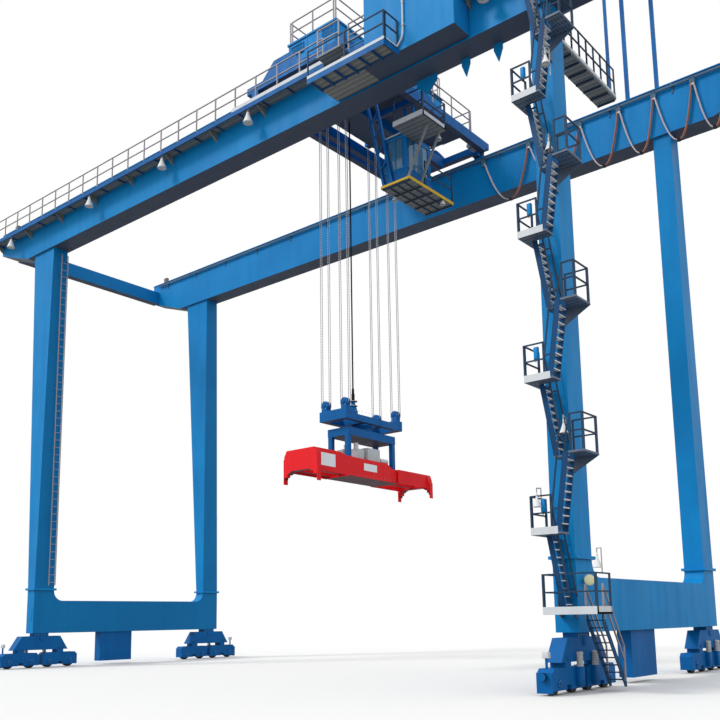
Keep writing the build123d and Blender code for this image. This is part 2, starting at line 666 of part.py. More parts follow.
def leg_outer_y(z):
    """Y of the near legs' outer face at height z."""
    share = max(0, (z - LEG_JOINT_Z) / (GIRDER_BOTTOM_Z - LEG_JOINT_Z))
    return -(LEG_INNER_Y + LEG_FOOT_DEPTH + share * (LEG_TOP_DEPTH - LEG_FOOT_DEPTH))


def plate(lane, points, thickness):
    """Flat bar of the given outline on each side of a lane, added to the open part."""
    for y, inward in zip(LANE_SIDES[lane], (1, -1)):
        with BuildSketch(Plane.XZ.offset(-y)) as outline:
            with BuildLine():
                Polyline(*points, close=True)
            make_face()
        extrude(outline.sketch, amount=-inward * thickness)


with BuildPart() as stair_landings:
    low_y = STAIR_NEAR_Y
    split_y = OUTER_LANE + STAIR_WIDTH / 2 + LANE_GAP / 2
    for i, z in enumerate(STAIR_LEVELS[:-1]):
        under = z - STAIR_FLOOR
        if i == 0:
            block((LEG_INNER_X + BASE_LEFT, low_y, under), (LEG_INNER_X + BASE_RIGHT, STAIR_FAR_Y, z))
            arms = (BASE_LEFT, RIGHT_LEG_WIDTH - STAIR_ARM)
        elif i % 2:
            block((LEG_INNER_X + STAIR_LEFT, low_y, under), (LEG_INNER_X + OUTER_FOOT + HALF_STRINGER, split_y, z))
            block((LEG_INNER_X + STAIR_LEFT, split_y, under), (LEG_INNER_X + INNER_HEAD - HALF_STRINGER, STAIR_FAR_Y, z))
            arms = (0, INNER_HEAD - HALF_STRINGER - STAIR_ARM)
        else:
            block((LEG_INNER_X + OUTER_HEAD + HALF_STRINGER, low_y, under), (LEG_INNER_X + STAIR_RIGHT, split_y, z))
            block((LEG_INNER_X + INNER_FOOT - HALF_STRINGER, split_y, under), (LEG_INNER_X + STAIR_RIGHT, STAIR_FAR_Y, z))
            arms = (RIGHT_LEG_WIDTH - STAIR_ARM,)
            gusset_x = LEG_INNER_X + RIGHT_LEG_WIDTH - STAIR_ARM
            with BuildSketch(Plane.XZ.offset(-STAIR_FAR_Y)):
                with BuildLine():
                    Polyline(
                        (gusset_x, under),
                        (LEG_INNER_X + STAIR_RIGHT, under),
                        (gusset_x + STAIR_ARM, under - GUSSET_DEPTH),
                        (gusset_x, under - GUSSET_DEPTH),
                        close=True,
                    )
                make_face()
            extrude(amount=STRINGER_THICKNESS)
        for x in arms:
            arm_x = LEG_INNER_X + x
            depth = STAIR_ARM if i % 2 or i == 0 else GUSSET_DEPTH
            face_y = leg_outer_y(under - depth)
            block((arm_x, STAIR_FAR_Y - STRINGER_THICKNESS, under - depth), (arm_x + STAIR_ARM, face_y, under))
    block(
        (LEG_INNER_X + TOP_LANDING_LEFT, low_y, WALK_Z - STAIR_FLOOR),
        (LEG_INNER_X + TOP_LANDING_RIGHT, WALK_EDGE, WALK_Z),
    )
    with Locations((sum(HATCH) / 2, sum(HATCH_Y) / 2, WALK_Z)):
        Box(HATCH[1] - HATCH[0], HATCH_Y[1] - HATCH_Y[0], 4 * STAIR_FLOOR, mode=Mode.SUBTRACT)
finish(stair_landings, "stair_landings")

with BuildPart() as stair_treads:
    for i, z in enumerate(STAIR_LEVELS[:-1]):
        lane, foot_x, head_x = flight(i)
        rise = STAIR_LEVELS[i + 1] - z
        count = max(2, round(TREADS_PER_FLIGHT * rise / (STAIR_LEVELS[1] - STAIR_LEVELS[0])))
        places = [
            (foot_x + (head_x - foot_x) * t / (count + 1), sum(LANE_SIDES[lane]) / 2, z + rise * t / (count + 1))
            for t in range(1, count + 1)
        ]
        with Locations(*places):
            Box(TREAD_DEPTH, STAIR_WIDTH - 2 * STRINGER_THICKNESS, TREAD_THICKNESS)
finish(stair_treads, "stair_treads")

with BuildPart() as stair_stringers:
    for i, z in enumerate(STAIR_LEVELS[:-1]):
        lane, foot_x, head_x = flight(i)
        head_z = STAIR_LEVELS[i + 1]
        plate(
            lane,
            [
                (foot_x - HALF_STRINGER, z),
                (foot_x + HALF_STRINGER, z),
                (head_x + HALF_STRINGER, head_z),
                (head_x - HALF_STRINGER, head_z),
            ],
            STRINGER_THICKNESS,
        )
finish(stair_stringers, "stair_stringers")

with BuildPart() as stair_railings:
    edge = POST_SIZE / 2
    near_y = STAIR_NEAR_Y + edge
    far_y = STAIR_FAR_Y - edge - STRINGER_THICKNESS
    for i, z in enumerate(STAIR_LEVELS[:-1]):
        if i == 0:
            left_x = LEG_INNER_X + BASE_LEFT + edge
            right_x = LEG_INNER_X + BASE_RIGHT - edge
            railing((left_x, near_y + POST_SIZE, z), (left_x, far_y, z))
            railing((left_x, near_y, z), (right_x, near_y, z))
            railing((right_x, near_y + POST_SIZE, z), (right_x, far_y, z))
        elif i % 2:
            left_x = LEG_INNER_X + STAIR_LEFT + edge
            railing((left_x, near_y + POST_SIZE, z), (left_x, far_y, z))
            railing((left_x, near_y, z), (LEG_INNER_X + INNER_FOOT, near_y, z))
        else:
            right_x = LEG_INNER_X + STAIR_RIGHT - edge
            railing((right_x, near_y + POST_SIZE, z), (right_x, far_y - POST_SIZE, z))
            railing((LEG_INNER_X + OUTER_HEAD + STRINGER_WIDTH, near_y, z), (right_x, near_y, z))
            railing((LEG_INNER_X + OUTER_FOOT + STRINGER_WIDTH, far_y, z), (right_x, far_y, z))
        lane, foot_x, head_x = flight(i)
        rise = STAIR_LEVELS[i + 1] - z
        side = 1 if head_x < foot_x else -1
        slope = Vector(head_x - foot_x, 0, rise)
        lean = RAIL_SIZE / 2 * abs(slope.X) / rise
        reach = slope * ((rise + HANDRAIL_RISE / 2) / rise)
        bracket_length = HANDRAIL_OFFSET - HALF_STRINGER - lean
        rails = []
        brackets = []
        for y, inward in zip(LANE_SIDES[lane], (1, -1)):
            rail_y = y + inward * STRINGER_THICKNESS / 2
            foot = Vector(foot_x + side * HANDRAIL_OFFSET, rail_y, z)
            start = foot + slope * (HANDRAIL_RISE / 2 / rise)
            rails.append(along(tuple(start), tuple(start + reach)))
            for share in BRACKET_SHARES:
                at = start + slope * share
                stringer_x = foot_x + slope.X * (at.Z - z) / rise
                brackets.append((stringer_x + side * (HALF_STRINGER + lean + bracket_length / 2), rail_y, at.Z))
        with Locations(*rails):
            Box(RAIL_SIZE, RAIL_SIZE, reach.length)
        with Locations(*brackets):
            Box(bracket_length, RAIL_SIZE, RAIL_SIZE)
finish(stair_railings, "stair_railings")

# Boarding platform from the near right leg, with its hanger rod
BOARD_X0 = LEG_INNER_X
BOARD_X1 = LEG_INNER_X + RIGHT_LEG_WIDTH
with BuildPart() as boarding_platform:
    block((BOARD_X0, -LEG_INNER_Y, BOARD_Z - 120), (BOARD_X1, BOARD_END_Y, BOARD_Z))
finish(boarding_platform, "boarding_platform")

with BuildPart() as boarding_railing:
    railing((BOARD_X1 - 30, -GIRDER_INNER_Y + 110, BOARD_Z), (BOARD_X1 - 30, BOARD_END_Y - 60, BOARD_Z), pitch=620)
finish(boarding_railing, "boarding_railing")

# Maintenance frame over the trolley path
with BuildPart() as maintenance_frame:
    for x in FRAME_POST_X:
        for s in SIDES.values():
            y = s * (GIRDER_MID_Y + FRAME_POST_OFFSET)
            block(
                (x - FRAME_POST / 2, y - FRAME_POST / 2, GIRDER_TOP_Z),
                (x + FRAME_POST / 2, y + FRAME_POST / 2, FRAME_TOP_Z),
            )
        block((x - 100, -GIRDER_MID_Y - 400, FRAME_TOP_Z - FRAME_BAR), (x + 100, GIRDER_MID_Y + 400, FRAME_TOP_Z))
    for s in SIDES.values():
        y = s * (GIRDER_MID_Y + FRAME_POST_OFFSET)
        block(
            (FRAME_POST_X[0], y - FRAME_POST / 2, FRAME_TOP_Z - FRAME_BAR),
            (FRAME_POST_X[1], y + FRAME_POST / 2, FRAME_TOP_Z),
        )
    rod_x = BOARD_X1 - 200
    block((FRAME_POST_X[1], BOARD_END_Y - 130, FRAME_TOP_Z - FRAME_BAR), (rod_x + 60, BOARD_END_Y - 10, FRAME_TOP_Z - 60))
    block((rod_x - 50, BOARD_END_Y - 120, BOARD_Z), (rod_x + 50, BOARD_END_Y - 20, FRAME_TOP_Z - 60))
finish(maintenance_frame, "maintenance_frame")

# Festoon: brackets and track on the far girder, carriages, cable loops
TRACK_Z = GIRDER_TOP_Z - TRACK_DROP
TRACK_BRACKETS = 14
TRACK_BRACKET_PITCH = 2_800
with BuildPart() as festoon_track:
    block(
        (-GIRDER_HALF_LENGTH + 700, FESTOON_Y - 30, TRACK_Z),
        (GIRDER_HALF_LENGTH - 300, FESTOON_Y + 30, TRACK_Z + TRACK_DEPTH),
    )
    for i in range(TRACK_BRACKETS):
        x = (i - (TRACK_BRACKETS - 1) / 2) * TRACK_BRACKET_PITCH
        block((x - 25, FESTOON_Y - 30, TRACK_Z + TRACK_DEPTH), (x + 25, GIRDER_INNER_Y - FLANGE_REACH, TRACK_Z + 180))
        block((x - 25, GIRDER_INNER_Y - FLANGE_REACH, TRACK_Z - 250), (x + 25, GIRDER_INNER_Y, TRACK_Z + 180))
finish(festoon_track, "festoon_track")

with BuildPart() as festoon_carriages:
    for x in CARRIAGE_X:
        block(
            (x - CARRIAGE_LENGTH / 2, FESTOON_Y - 60, TRACK_Z - CARRIAGE_HEIGHT),
            (x + CARRIAGE_LENGTH / 2, FESTOON_Y + 60, TRACK_Z),
        )
finish(festoon_carriages, "festoon_carriages")

with BuildPart() as festoon_cable:
    top = TRACK_Z - CARRIAGE_HEIGHT
    for a, b in zip(CARRIAGE_X, CARRIAGE_X[1:]):
        start = (a + CARRIAGE_LENGTH / 4, FESTOON_Y, top)
        turn = (a + (b - a) * LOOP_SHARE, FESTOON_Y, top - LOOP_DROP)
        stop = (b - CARRIAGE_LENGTH / 4, FESTOON_Y, top)
        with BuildLine() as path:
            FilletPolyline(start, turn, stop, radius=LOOP_RADIUS)
        with BuildSketch(Plane(origin=start, z_dir=Vector(*turn) - Vector(*start))):
            RegularPolygon(CABLE_DIAMETER / 2, CABLE_SIDES)
        sweep(path=path.line)
    flat_top = Plane.XY.offset(top)
    split(bisect_by=flat_top, keep=Keep.BOTTOM)
finish(festoon_cable, "festoon_cable")

# Ladder on the near left leg
with BuildPart() as leg_ladder:
    ladder_x = -LEG_INNER_X + LADDER_X
    ladder_y = -LEG_INNER_Y - LADDER_Y
    foot_z = LEG_JOINT_Z + LADDER_FOOT
    head_z = GIRDER_BOTTOM_Z - LADDER_HEAD
    for k in (0, LADDER_WIDTH - LADDER_RAIL):
        block(
            (ladder_x - LADDER_RAIL / 2, ladder_y + k, foot_z),
            (ladder_x + LADDER_RAIL / 2, ladder_y + k + LADDER_RAIL, head_z),
        )
    first_rung = foot_z + 150
    rungs = int((head_z - first_rung) / RUNG_PITCH)
    with Locations(*[(ladder_x, ladder_y + LADDER_WIDTH / 2, first_rung + i * RUNG_PITCH) for i in range(rungs)]):
        Box(RUNG_SIZE, LADDER_WIDTH - RUNG_SIZE, RUNG_SIZE)
    for i in range(int(LEG_LENGTH / LADDER_HOLD_PITCH) + 1):
        z = LEG_JOINT_Z + 900 + i * LADDER_HOLD_PITCH
        block((-LEG_INNER_X, ladder_y, z), (ladder_x, ladder_y + LADDER_RAIL, z + LADDER_RAIL))
finish(leg_ladder, "leg_ladder")

# Ground stair from the pavement to the lowest stair platform
STEP_X0 = LEG_INNER_X + GROUND_STAIR_X
STEP_X1 = STEP_X0 + GROUND_STAIR_WIDTH
STEP_TOP_Y = STAIR_FAR_Y
STEP_FOOT_Y = STEP_TOP_Y + GROUND_STAIR_RUN
STEP_RISE = (STAIR_BASE_Z - GROUND_CLEARANCE) / (GROUND_TREADS + 1)
STEP_SLOPE = (STAIR_BASE_Z - GROUND_CLEARANCE - GROUND_TOE) / GROUND_STAIR_RUN
with BuildPart() as ground_stair:
    for x0 in (STEP_X0, STEP_X1 - STRINGER_THICKNESS):
        with BuildSketch(Plane.YZ.offset(x0)):
            with BuildLine():
                Polyline(
                    (STEP_TOP_Y, STAIR_BASE_Z),
                    (STEP_TOP_Y, STAIR_BASE_Z - 1.6 * GROUND_STRINGER_DEPTH),
                    (STEP_FOOT_Y - GROUND_TOE, GROUND_CLEARANCE),
                    (STEP_FOOT_Y, GROUND_CLEARANCE),
                    (STEP_FOOT_Y, GROUND_CLEARANCE + GROUND_TOE),
                    close=True,
                )
            make_face()
        extrude(amount=STRINGER_THICKNESS)
    for t in range(GROUND_TREADS):
        z = GROUND_CLEARANCE + STEP_RISE * (t + 1)
        y = STEP_FOOT_Y - (z - GROUND_CLEARANCE - GROUND_TOE / 2) / STEP_SLOPE
        block(
            (STEP_X0 + STRINGER_THICKNESS, y - GROUND_TREAD_DEPTH / 2, z - TREAD_THICKNESS),
            (STEP_X1 - STRINGER_THICKNESS, y + GROUND_TREAD_DEPTH / 2, z),
        )
finish(ground_stair, "ground_stair")

with BuildPart() as ground_stair_railing:
    for x in (STEP_X0 - RAIL_SIZE / 2, STEP_X1 + RAIL_SIZE / 2):
        foot = (x, STEP_FOOT_Y - GROUND_TOE, GROUND_CLEARANCE + GROUND_TOE * (1 + STEP_SLOPE))
        top = (x, STEP_TOP_Y + POST_SIZE, STAIR_BASE_Z - POST_SIZE * STEP_SLOPE)
        for lift in (HANDRAIL_RISE / 2, HANDRAIL_RISE):
            bar((foot[0], foot[1], foot[2] + lift), (top[0], top[1], top[2] + lift), RAIL_SIZE)
        for post in (foot, top):
            block(
                (x - RAIL_SIZE / 2, post[1] - POST_SIZE / 2, post[2] - GROUND_TOE),
                (x + RAIL_SIZE / 2, post[1] + POST_SIZE / 2, post[2] + HANDRAIL_RISE),
            )
finish(ground_stair_railing, "ground_stair_railing")

# Floodlights under the walkway edge: a short neck and a flared shade
FLOOD_X = (-17_900, -10_300, -4_450, 1_350, 6_650, 13_000)
FLOOD_Y = WALK_EDGE + 120
FLOOD_NECK = 290
FLOOD_NECK_WIDTH = 60
FLOOD_SHADE = 430
FLOOD_TOP_RADIUS = 75
FLOOD_RIM_RADIUS = 223
FLOOD_SIDES = 12
with BuildPart() as floodlights:
    neck_top_z = WALK_Z - WALK_THICKNESS
    for x in FLOOD_X:
        block(
            (x - FLOOD_NECK_WIDTH / 2, FLOOD_Y - FLOOD_NECK_WIDTH / 2, neck_top_z - FLOOD_NECK),
            (x + FLOOD_NECK_WIDTH / 2, FLOOD_Y + FLOOD_NECK_WIDTH / 2, neck_top_z),
        )
        for drop, radius in ((0, FLOOD_TOP_RADIUS), (FLOOD_SHADE, FLOOD_RIM_RADIUS)):
            with BuildSketch(Plane.XY.offset(neck_top_z - FLOOD_NECK - drop)):
                with Locations((x, FLOOD_Y)):
                    RegularPolygon(radius, FLOOD_SIDES)
        loft(ruled=True)
finish(floodlights, "floodlights")

# Trolley frame on end carriages, with a trapezoid bracket over each carriage and a deck beside the house
TROLLEY_BASE_Z = RAIL_TOP_Z + TROLLEY_BEAM_BOTTOM
TROLLEY_DECK_Z = TROLLEY_BASE_Z + TROLLEY_BEAM_DEPTH
AXLE_Z = RAIL_TOP_Z + TROLLEY_WHEEL_RADIUS
TROLLEY_WHEEL_X = (TROLLEY_X - TROLLEY_LEFT + TROLLEY_WHEEL_INSET, TROLLEY_X + TROLLEY_RIGHT - TROLLEY_WHEEL_INSET)
CROSS_BEAMS = (-TROLLEY_LEFT + CROSS_BEAM / 2, -1_050, 1_250, TROLLEY_RIGHT - CROSS_BEAM / 2)
HANGER_Y = (CAB_NEAR_Y - HANGER_GAP - HANGER_BAR / 2, CAB_DECK_FAR_Y - HANGER_BAR / 2)
DECK_PLATE = 40
AXLE_BOX = 400
with BuildPart() as trolley_frame:
    for s in SIDES.values():
        y = s * GIRDER_MID_Y
        block(
            (TROLLEY_X - TROLLEY_LEFT, y - CARRIAGE_WIDTH / 2, RAIL_TOP_Z + 2 * TROLLEY_WHEEL_RADIUS + 30),
            (TROLLEY_X + TROLLEY_RIGHT, y + CARRIAGE_WIDTH / 2, TROLLEY_DECK_Z),
        )
        for x in TROLLEY_WHEEL_X:
            for k in (-1, 1):
                side_y = y + k * (CARRIAGE_WIDTH / 2 - 40)
                block(
                    (x - AXLE_BOX / 2, side_y - 40, AXLE_Z - 120),
                    (x + AXLE_BOX / 2, side_y + 40, TROLLEY_DECK_Z),
                )
        with BuildSketch(Plane.XZ.offset(-y)):
            with BuildLine():
                Polyline(
                    (TROLLEY_X - 800, TROLLEY_DECK_Z),
                    (TROLLEY_X + 1_450, TROLLEY_DECK_Z),
                    (TROLLEY_X + 950, TROLLEY_DECK_Z + 660),
                    (TROLLEY_X - 90, TROLLEY_DECK_Z + 660),
                    close=True,
                )
            make_face()
        extrude(amount=CARRIAGE_WIDTH / 2, both=True)
    for x in CROSS_BEAMS:
        block(
            (TROLLEY_X + x - CROSS_BEAM / 2, -GIRDER_MID_Y + CARRIAGE_WIDTH / 2, TROLLEY_BASE_Z),
            (TROLLEY_X + x + CROSS_BEAM / 2, GIRDER_MID_Y - CARRIAGE_WIDTH / 2, TROLLEY_DECK_Z),
        )
    for y in HANGER_Y:
        block(
            (TROLLEY_X + CROSS_BEAMS[2], y - HANGER_BAR, TROLLEY_BASE_Z),
            (TROLLEY_X + CROSS_BEAMS[3], y + HANGER_BAR, TROLLEY_BASE_Z + 300),
        )
    block(
        (TROLLEY_X + HOUSE_LENGTH_RIGHT, -MACHINE_HALF_WIDTH, TROLLEY_DECK_Z - DECK_PLATE),
        (TROLLEY_X + TROLLEY_RIGHT, MACHINE_HALF_WIDTH, TROLLEY_DECK_Z),
    )
finish(trolley_frame, "trolley_frame")

with BuildPart() as trolley_railing:
    x0 = TROLLEY_X + HOUSE_LENGTH_RIGHT + POST_SIZE
    x1 = TROLLEY_X + TROLLEY_RIGHT - POST_SIZE
    for s in SIDES.values():
        y = s * (MACHINE_HALF_WIDTH - POST_SIZE)
        railing((x0, y, TROLLEY_DECK_Z), (x1, y, TROLLEY_DECK_Z))
    end_y = MACHINE_HALF_WIDTH - 3 * POST_SIZE
    railing((x1, -end_y, TROLLEY_DECK_Z), (x1, end_y, TROLLEY_DECK_Z))
finish(trolley_railing, "trolley_railing")

with BuildPart() as trolley_wheels:
    for s in SIDES.values():
        with BuildSketch(Plane.XZ.offset(-s * GIRDER_MID_Y)):
            with Locations(*[(x, AXLE_Z) for x in TROLLEY_WHEEL_X]):
                RegularPolygon(TROLLEY_WHEEL_RADIUS, WHEEL_SIDES)
        extrude(amount=65, both=True)
        with BuildSketch(Plane.XZ.offset(-s * GIRDER_MID_Y)):
            with Locations(*[(x, AXLE_Z) for x in TROLLEY_WHEEL_X]):
                RegularPolygon(60, WHEEL_SIDES // 3)
        extrude(amount=CARRIAGE_WIDTH / 2 - 80, both=True)
finish(trolley_wheels, "trolley_wheels")

# Machinery house on the trolley
ROOF_Z = TROLLEY_DECK_Z + MACHINE_HEIGHT
HOUSE_X = (TROLLEY_X - HOUSE_LENGTH_LEFT, TROLLEY_X + HOUSE_LENGTH_RIGHT)
with BuildPart() as machinery_house:
    block((HOUSE_X[0], -MACHINE_HALF_WIDTH, TROLLEY_DECK_Z), (HOUSE_X[1], MACHINE_HALF_WIDTH, ROOF_Z))
finish(machinery_house, "machinery_house")

with BuildPart() as roof_railing:
    for x in (HOUSE_X[0] + RAILING_INSET, HOUSE_X[1] - RAILING_INSET):
        railing((x, -MACHINE_HALF_WIDTH + RAILING_INSET, ROOF_Z), (x, MACHINE_HALF_WIDTH - RAILING_INSET, ROOF_Z), pitch=1_900)
    for y in (-MACHINE_HALF_WIDTH + RAILING_INSET, MACHINE_HALF_WIDTH - RAILING_INSET):
        railing((HOUSE_X[0] + 3 * RAILING_INSET, y, ROOF_Z), (HOUSE_X[1] - 3 * RAILING_INSET, y, ROOF_Z))
finish(roof_railing, "roof_railing")

# Cab hung from the trolley, with window openings on all four sides
CAB_X0 = TROLLEY_X + CAB_LEFT
CAB_X1 = TROLLEY_X + CAB_RIGHT
CAB_TOP_Z = CAB_FLOOR_Z + CAB_HEIGHT
CAB_MID = ((CAB_X0 + CAB_X1) / 2, (CAB_NEAR_Y + CAB_FAR_Y) / 2, CAB_FLOOR_Z + CAB_HEIGHT / 2)
WINDOW_HEIGHT = CAB_HEIGHT - CAB_WINDOW_SILL - CAB_WINDOW_EDGE
WINDOW_Z = CAB_FLOOR_Z + CAB_WINDOW_SILL + WINDOW_HEIGHT / 2
CAB_SPAN_X = CAB_X1 - CAB_X0
CAB_SPAN_Y = CAB_FAR_Y - CAB_NEAR_Y
with BuildPart() as cab_shell:
    with Locations(CAB_MID):
        Box(CAB_SPAN_X, CAB_SPAN_Y, CAB_HEIGHT)
        Box(CAB_SPAN_X - 2 * CAB_WALL, CAB_SPAN_Y - 2 * CAB_WALL, CAB_HEIGHT - 2 * CAB_WALL, mode=Mode.SUBTRACT)
    with Locations((CAB_MID[0], CAB_MID[1], WINDOW_Z)):
        Box(2 * CAB_SPAN_X, CAB_SPAN_Y - 2 * CAB_WINDOW_EDGE, WINDOW_HEIGHT, mode=Mode.SUBTRACT)
        Box(CAB_SPAN_X - 2 * CAB_WINDOW_EDGE, 2 * CAB_SPAN_Y, WINDOW_HEIGHT, mode=Mode.SUBTRACT)
finish(cab_shell, "cab_shell")

with BuildPart() as cab_glass:
    for x in (CAB_X0 + CAB_WALL / 2, CAB_X1 - CAB_WALL / 2):
        with Locations((x, CAB_MID[1], WINDOW_Z)):
            Box(CAB_GLASS, CAB_SPAN_Y - 2 * CAB_WINDOW_EDGE, WINDOW_HEIGHT)
    for y in (CAB_NEAR_Y + CAB_WALL / 2, CAB_FAR_Y - CAB_WALL / 2):
        with Locations((CAB_MID[0], y, WINDOW_Z)):
            Box(CAB_SPAN_X - 2 * CAB_WINDOW_EDGE, CAB_GLASS, WINDOW_HEIGHT)
finish(cab_glass, "cab_glass")

# Cab deck, the gangway at roof height, and the truss hangers
DECK_NEAR_Y = CAB_NEAR_Y - CAB_DECK_NEAR
DECK_X = (CAB_X0 - CAB_DECK_LEFT, CAB_X1 + CAB_DECK_RIGHT)
with BuildPart() as cab_deck:
    block((DECK_X[0], DECK_NEAR_Y, CAB_FLOOR_Z - CAB_DECK_THICKNESS), (DECK_X[1], CAB_DECK_FAR_Y, CAB_FLOOR_Z))
    block((CAB_X1, GANGWAY_NEAR_Y, GANGWAY_Z - 60), (CAB_X1 + GANGWAY_LENGTH, GANGWAY_FAR_Y, GANGWAY_Z))
    for y in (DECK_NEAR_Y + HANGER_BAR / 2, GANGWAY_FAR_Y - HANGER_BAR / 2):
        bar((DECK_X[1] - HANGER_BAR, y, CAB_FLOOR_Z - 50), (CAB_X1 + 0.8 * GANGWAY_LENGTH, y, GANGWAY_Z - 40), HANGER_BAR * 0.8)
finish(cab_deck, "cab_deck")

with BuildPart() as cab_railing:
    gangway_x = CAB_X1 + GANGWAY_LENGTH - POST_SIZE / 2
    gangway_y = (GANGWAY_NEAR_Y + POST_SIZE / 2, GANGWAY_FAR_Y - POST_SIZE / 2)
    railing((gangway_x, gangway_y[0] + POST_SIZE, GANGWAY_Z), (gangway_x, gangway_y[1] - POST_SIZE, GANGWAY_Z))
    for y in gangway_y:
        railing((CAB_X1 + POST_SIZE, y, GANGWAY_Z), (gangway_x, y, GANGWAY_Z))
    deck_y = CAB_DECK_FAR_Y - POST_SIZE / 2
    deck_x = DECK_X[1] - POST_SIZE / 2
    far_hanger_x = DECK_X[0] + POST_SIZE / 2
    railing((far_hanger_x, deck_y - 2 * HANGER_BAR, CAB_FLOOR_Z), (far_hanger_x, CAB_FAR_Y + POST_SIZE, CAB_FLOOR_Z))
    railing((deck_x, deck_y, CAB_FLOOR_Z), (deck_x, GANGWAY_FAR_Y + 2 * HANGER_BAR, CAB_FLOOR_Z))
finish(cab_railing, "cab_railing")

with BuildPart() as cab_hanger:
    for y in HANGER_Y:
        top = Vector(TROLLEY_X + HANGER_TOP, y, TROLLEY_BASE_Z)
        foot = Vector(TROLLEY_X + HANGER_FOOT, y, CAB_FLOOR_Z)
        spread = Vector(HANGER_SPREAD / 2, 0, 0)
        reach = (top - foot).normalized() * HANGER_BAR
        for k in (-1, 1):
            bar(tuple(foot + spread * k - reach), tuple(top + spread * k + reach), HANGER_BAR)
        for i in range(HANGER_RUNGS):
            at = foot + (top - foot) * ((i + 1) / (HANGER_RUNGS + 1))
            across = at + (top - foot) * (0.5 / (HANGER_RUNGS + 1))
            bar(tuple(at - spread), tuple(across + spread), HANGER_BAR * 0.6)
    hung_height = TROLLEY_BASE_Z - CAB_FLOOR_Z
    with Locations((CAB_MID[0], 0, CAB_FLOOR_Z + hung_height / 2)):
        Box(2 * MACHINE_HALF_WIDTH, 4 * MACHINE_HALF_WIDTH, hung_height, mode=Mode.INTERSECT)
finish(cab_hanger, "cab_hanger")

# Hoist ropes and the spreader's cable from the trolley down to the headblock
HEADBLOCK_TOP_Z = HEADBLOCK_BOTTOM_Z + HEADBLOCK_HEIGHT
SHEAVE_Z = HEADBLOCK_TOP_Z + SHEAVE_RADIUS + SHEAVE_CLEARANCE
with BuildPart() as hoist_ropes:
    falls = [
        (TROLLEY_X + i * SHEAVE_X + k * SHEAVE_RADIUS, j * SHEAVE_Y + m * ROPE_PAIR / 2)
        for i in (-1, 1)
        for j in (-1, 1)
        for k in (-1, 1)
        for m in (-1, 1)
    ]
    with BuildSketch(Plane.XY.offset(SHEAVE_Z)):
        with Locations(*falls):
            RegularPolygon(ROPE_RADIUS, 6)
    extrude(amount=TROLLEY_DECK_Z - SHEAVE_Z)
    with BuildSketch(Plane.XY.offset(HEADBLOCK_TOP_Z + BASKET_HEIGHT)):
        with Locations((TROLLEY_X, BASKET_Y)):
            RegularPolygon(SPREADER_CABLE_RADIUS, 6)
    extrude(amount=TROLLEY_DECK_Z - HEADBLOCK_TOP_Z - BASKET_HEIGHT)
finish(hoist_ropes, "hoist_ropes")

# Headblock: two long beams with raised ends, tied by cross beams
KNEE_RISE = 160
KNEE_HEAD = 520
KNEE_FOOT = 820
with BuildPart() as headblock:
    for i in (-1, 1):
        with BuildSketch(Plane.YZ.offset(TROLLEY_X + i * (HEADBLOCK_HALF_WIDTH - HEADBLOCK_BEAM / 2))):
            with BuildLine():
                Polyline(
                    (0, HEADBLOCK_BOTTOM_Z),
                    (HEADBLOCK_HALF_LENGTH, HEADBLOCK_BOTTOM_Z),
                    (HEADBLOCK_HALF_LENGTH, HEADBLOCK_TOP_Z),
                    (HEADBLOCK_HALF_LENGTH - KNEE_HEAD, HEADBLOCK_TOP_Z),
                    (HEADBLOCK_HALF_LENGTH - KNEE_FOOT, HEADBLOCK_TOP_Z - KNEE_RISE),
                    (0, HEADBLOCK_TOP_Z - KNEE_RISE),
                    close=True,
                )
            make_face()
            mirror(about=Plane.YZ)
        extrude(amount=HEADBLOCK_BEAM / 2, both=True)
    for y in (-HEADBLOCK_HALF_LENGTH + CROSS_BEAM / 2, BASKET_Y, -BASKET_Y, HEADBLOCK_HALF_LENGTH - CROSS_BEAM / 2):
        top_z = HEADBLOCK_TOP_Z if abs(y) > HEADBLOCK_HALF_LENGTH / 2 else HEADBLOCK_TOP_Z - KNEE_RISE
        block(
            (TROLLEY_X - HEADBLOCK_HALF_WIDTH, y - CROSS_BEAM / 2, HEADBLOCK_BOTTOM_Z),
            (TROLLEY_X + HEADBLOCK_HALF_WIDTH, y + CROSS_BEAM / 2, top_z),
        )
    basket_foot_z = HEADBLOCK_TOP_Z - KNEE_RISE
    with BuildSketch(Plane.XY.offset(basket_foot_z)):
        with Locations((TROLLEY_X, BASKET_Y)):
            RegularPolygon(BASKET_FOOT_RADIUS, 12)
    extrude(amount=BASKET_HEIGHT / 2, taper=BASKET_TAPER / 2)
    with BuildSketch(Plane.XY.offset(basket_foot_z + BASKET_HEIGHT / 2)):
        with Locations((TROLLEY_X, BASKET_Y)):
            RegularPolygon(BASKET_FOOT_RADIUS * 1.2, 12)
    extrude(amount=BASKET_HEIGHT / 2 + KNEE_RISE, taper=-BASKET_TAPER)
finish(headblock, "headblock")

HOUSING_PLATE = 30
with BuildPart() as headblock_sheaves:
    for i in (-1, 1):
        for j in (-1, 1):
            with BuildSketch(Plane.XZ.offset(-j * SHEAVE_Y)):
                with Locations((TROLLEY_X + i * SHEAVE_X, SHEAVE_Z)):
                    RegularPolygon(SHEAVE_RADIUS - ROPE_RADIUS, SHEAVE_SIDES)
            extrude(amount=ROPE_PAIR, both=True)
            with BuildSketch(Plane.XZ.offset(-j * SHEAVE_Y)):
                with Locations((TROLLEY_X + i * SHEAVE_X, (SHEAVE_Z + HEADBLOCK_TOP_Z) / 2)):
                    Rectangle(CROSS_BEAM, SHEAVE_Z - HEADBLOCK_TOP_Z)
            extrude(amount=ROPE_PAIR + HOUSING_PLATE, both=True)
finish(headblock_sheaves, "headblock_sheaves")

